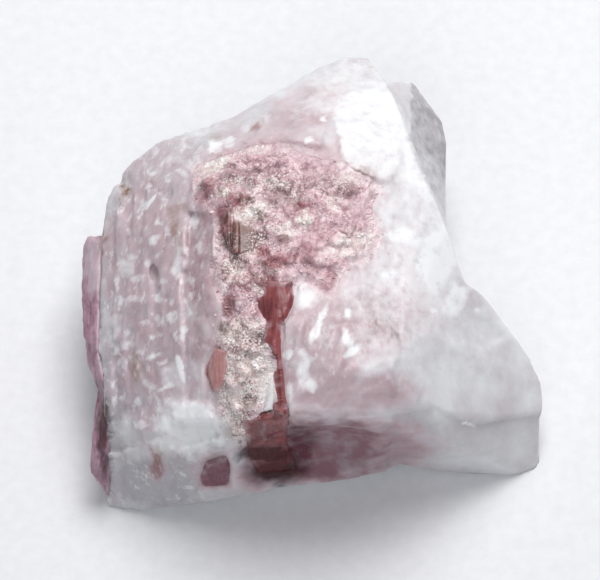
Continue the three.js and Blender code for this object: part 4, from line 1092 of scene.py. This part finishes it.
class CRUST_OT_grains(bpy.types.Operator):
    """Builds the sugary crust: its lumpy bed, and the grains strewn over it and thinly past its edge."""

    bl_idname = "specimen.sugary_crust"
    bl_label = "Sugary crust"

    def execute(self, context):
        sizes, look = context.scene.specimen_sizes, context.scene.specimen_look
        random = np.random.default_rng(7)
        grounds = [bpy.data.objects[name] for name in ("albite_block", "striated_crystal")]
        grounds = [tree_of(corners_of(ground), faces_of(ground)) for ground in grounds]
        bed, bed_faces, inward = crust_bed(sizes.crust_mesh / MM, grounds[0])
        shapes = grain_shapes(random, count=14)
        spots, on_crust = strewn(random, sizes.grains, bed, bed_faces, grounds)

        # A few of the grains on the crust are coarser, and those outside it are fine.
        coarse = random.uniform(*GRAINS, len(spots)) * (1 + 0.6 * (random.uniform(size=len(spots)) > 0.93))
        grown = np.where(on_crust, coarse, random.uniform(*STRAY_GRAINS, len(spots)))
        spins = turns(random, len(spots))
        corners, faces, owner = [bed], list(bed_faces), [np.full(len(bed), -1)]
        count = len(bed)
        for i, spot in enumerate(spots):
            shape, shape_faces = shapes[i % len(shapes)]
            stretch = np.array([1.0, 1.0, random.uniform(0.6, 1.3)]) * grown[i]
            corners.append((shape * stretch) @ spins[i].T + spot - TOWARD * 0.25 * grown[i])
            faces.extend(tuple(index + count for index in face) for face in shape_faces)
            owner.append(np.full(len(shape), i))
            count += len(shape)
        corners, owner = np.concatenate(corners), np.concatenate(owner)
        piece = new_object("sugary_crust", corners, faces)

        # A grain has one tone and lies in one zone, and the bed's corners have their own.
        in_bed = owner < 0
        places = np.where(in_bed[:, None], corners, spots[owner])
        tones = 0.5 + 0.5 * random.uniform(size=len(spots))
        mark(piece, "tone", np.where(in_bed, 0.5, tones[owner]))
        edge = np.concatenate([inward, np.full(len(corners) - len(inward), 3.0)])
        mark(piece, "sugary", sugared(places, edge))
        mark(piece, "seam", np.where(in_bed, 1 - ramp(edge, 0.2, 1.4), 1.0))
        mark_zones(piece, places)
        mark(piece, "fibrous", np.zeros(len(corners)))
        mark_place(piece, "fibre_place", fibre_places(corners))
        seated(piece, "tourmaline_crust", sugary_grains(look))
        return {"FINISHED"}


# ---- Floor, light and camera ----


def pale_paper():
    """Matt studio paper: an even pale sweep that takes a soft shadow."""
    material, tree, shader, place = new_material("Studio paper, matt")
    # The tooth is drawn 2 mm wide, coarser than it is, to show.
    tooth = {"Vector": place, "Scale": 1000 / 2.0, "Detail": 3.0, "Roughness": 0.55}
    tooth = add(tree, "TexNoise", tooth)
    colour = add(tree, "ValToRGB", {"Fac": tooth}, stops=[(0.3, "#E4E5E8"), (0.7, "#EAEBED")])
    fill(tree, shader, {"Base Color": colour, "Roughness": 0.9})
    return material


def soft_light(name, direction, distance, size, power, tint):
    """Adds a square soft light that points at the specimen. Its distance and size are in mm, and its power
    is in watts."""
    data = bpy.data.lights.new(name, "AREA")
    data.shape = "SQUARE"
    data.size = size * MM
    data.energy = power
    data.color = tint
    light = bpy.data.objects.new(name, data)
    bpy.context.scene.collection.objects.link(light)
    direction = Vector(direction).normalized()
    light.location = (Vector(AIM) + direction * distance) * MM
    light.rotation_euler = direction.to_track_quat("Z", "Y").to_euler()


class STAGE_OT_studio(bpy.types.Operator):
    """Sets the floor, the lights and the camera."""

    bl_idname = "specimen.studio"
    bl_label = "Studio"

    def execute(self, context):
        scene = context.scene
        half = 1500.0
        edge = [(-half, -half, 0), (half, -half, 0), (half, half, 0), (-half, half, 0)]
        floor = new_object("floor", edge, [(0, 1, 2, 3)])
        floor.data.materials.append(pale_paper())

        warm, cool = (1.0, 0.99, 0.98), (0.97, 0.98, 1.0)
        soft_light("key", (0.14, 0.44, 0.885), distance=620, size=420, power=3.9, tint=warm)
        soft_light("fill", (-0.12, -0.6, 0.6), distance=800, size=600, power=2.0, tint=cool)

        world = bpy.data.worlds.new("Studio")
        world.use_nodes = True
        background = next(node for node in world.node_tree.nodes if node.type == "BACKGROUND")
        fill(world.node_tree, background, {"Color": "#E9ECF2", "Strength": 0.2})
        scene.world = world

        data = bpy.data.cameras.new("camera")
        data.lens = 225.0
        data.sensor_width = 36.0
        data.sensor_fit = "HORIZONTAL"
        data.clip_start = 0.01
        camera = bpy.data.objects.new("camera", data)
        scene.collection.objects.link(camera)
        camera.location = Vector(EYE) * MM
        camera.rotation_euler = Vector(TOWARD).to_track_quat("Z", "Y").to_euler()
        scene.camera = camera
        scene.view_settings.view_transform = "Standard"
        return {"FINISHED"}


class SPECIMEN_PT_panel(bpy.types.Panel):
    """Lists the pieces and what a user would change."""

    bl_label = "Specimen"
    bl_space_type = "VIEW_3D"
    bl_region_type = "UI"
    bl_category = "Specimen"

    def draw(self, context):
        for group in (context.scene.specimen_sizes, context.scene.specimen_look):
            for name in group.__annotations__:
                self.layout.prop(group, name)
        for operator in OPERATORS:
            self.layout.operator(operator.bl_idname)


OPERATORS = [
    ALBITE_OT_block,
    TOURMALINE_OT_main,
    TOURMALINE_OT_small,
    TOURMALINE_OT_side,
    CRUST_OT_grains,
    STAGE_OT_studio,
]
CLASSES = [SpecimenLook, SpecimenSizes, *OPERATORS, SPECIMEN_PT_panel]


def register():
    for one in CLASSES:
        bpy.utils.register_class(one)
    bpy.types.Scene.specimen_look = bpy.props.PointerProperty(type=SpecimenLook)
    bpy.types.Scene.specimen_sizes = bpy.props.PointerProperty(type=SpecimenSizes)


def unregister():
    del bpy.types.Scene.specimen_sizes
    del bpy.types.Scene.specimen_look
    for one in reversed(CLASSES):
        bpy.utils.unregister_class(one)


def main():
    """Builds the specimen and its stage."""
    register()
    for operator in OPERATORS:
        group, name = operator.bl_idname.split(".")
        getattr(getattr(bpy.ops, group), name)()


if __name__ == "__main__":
    main()
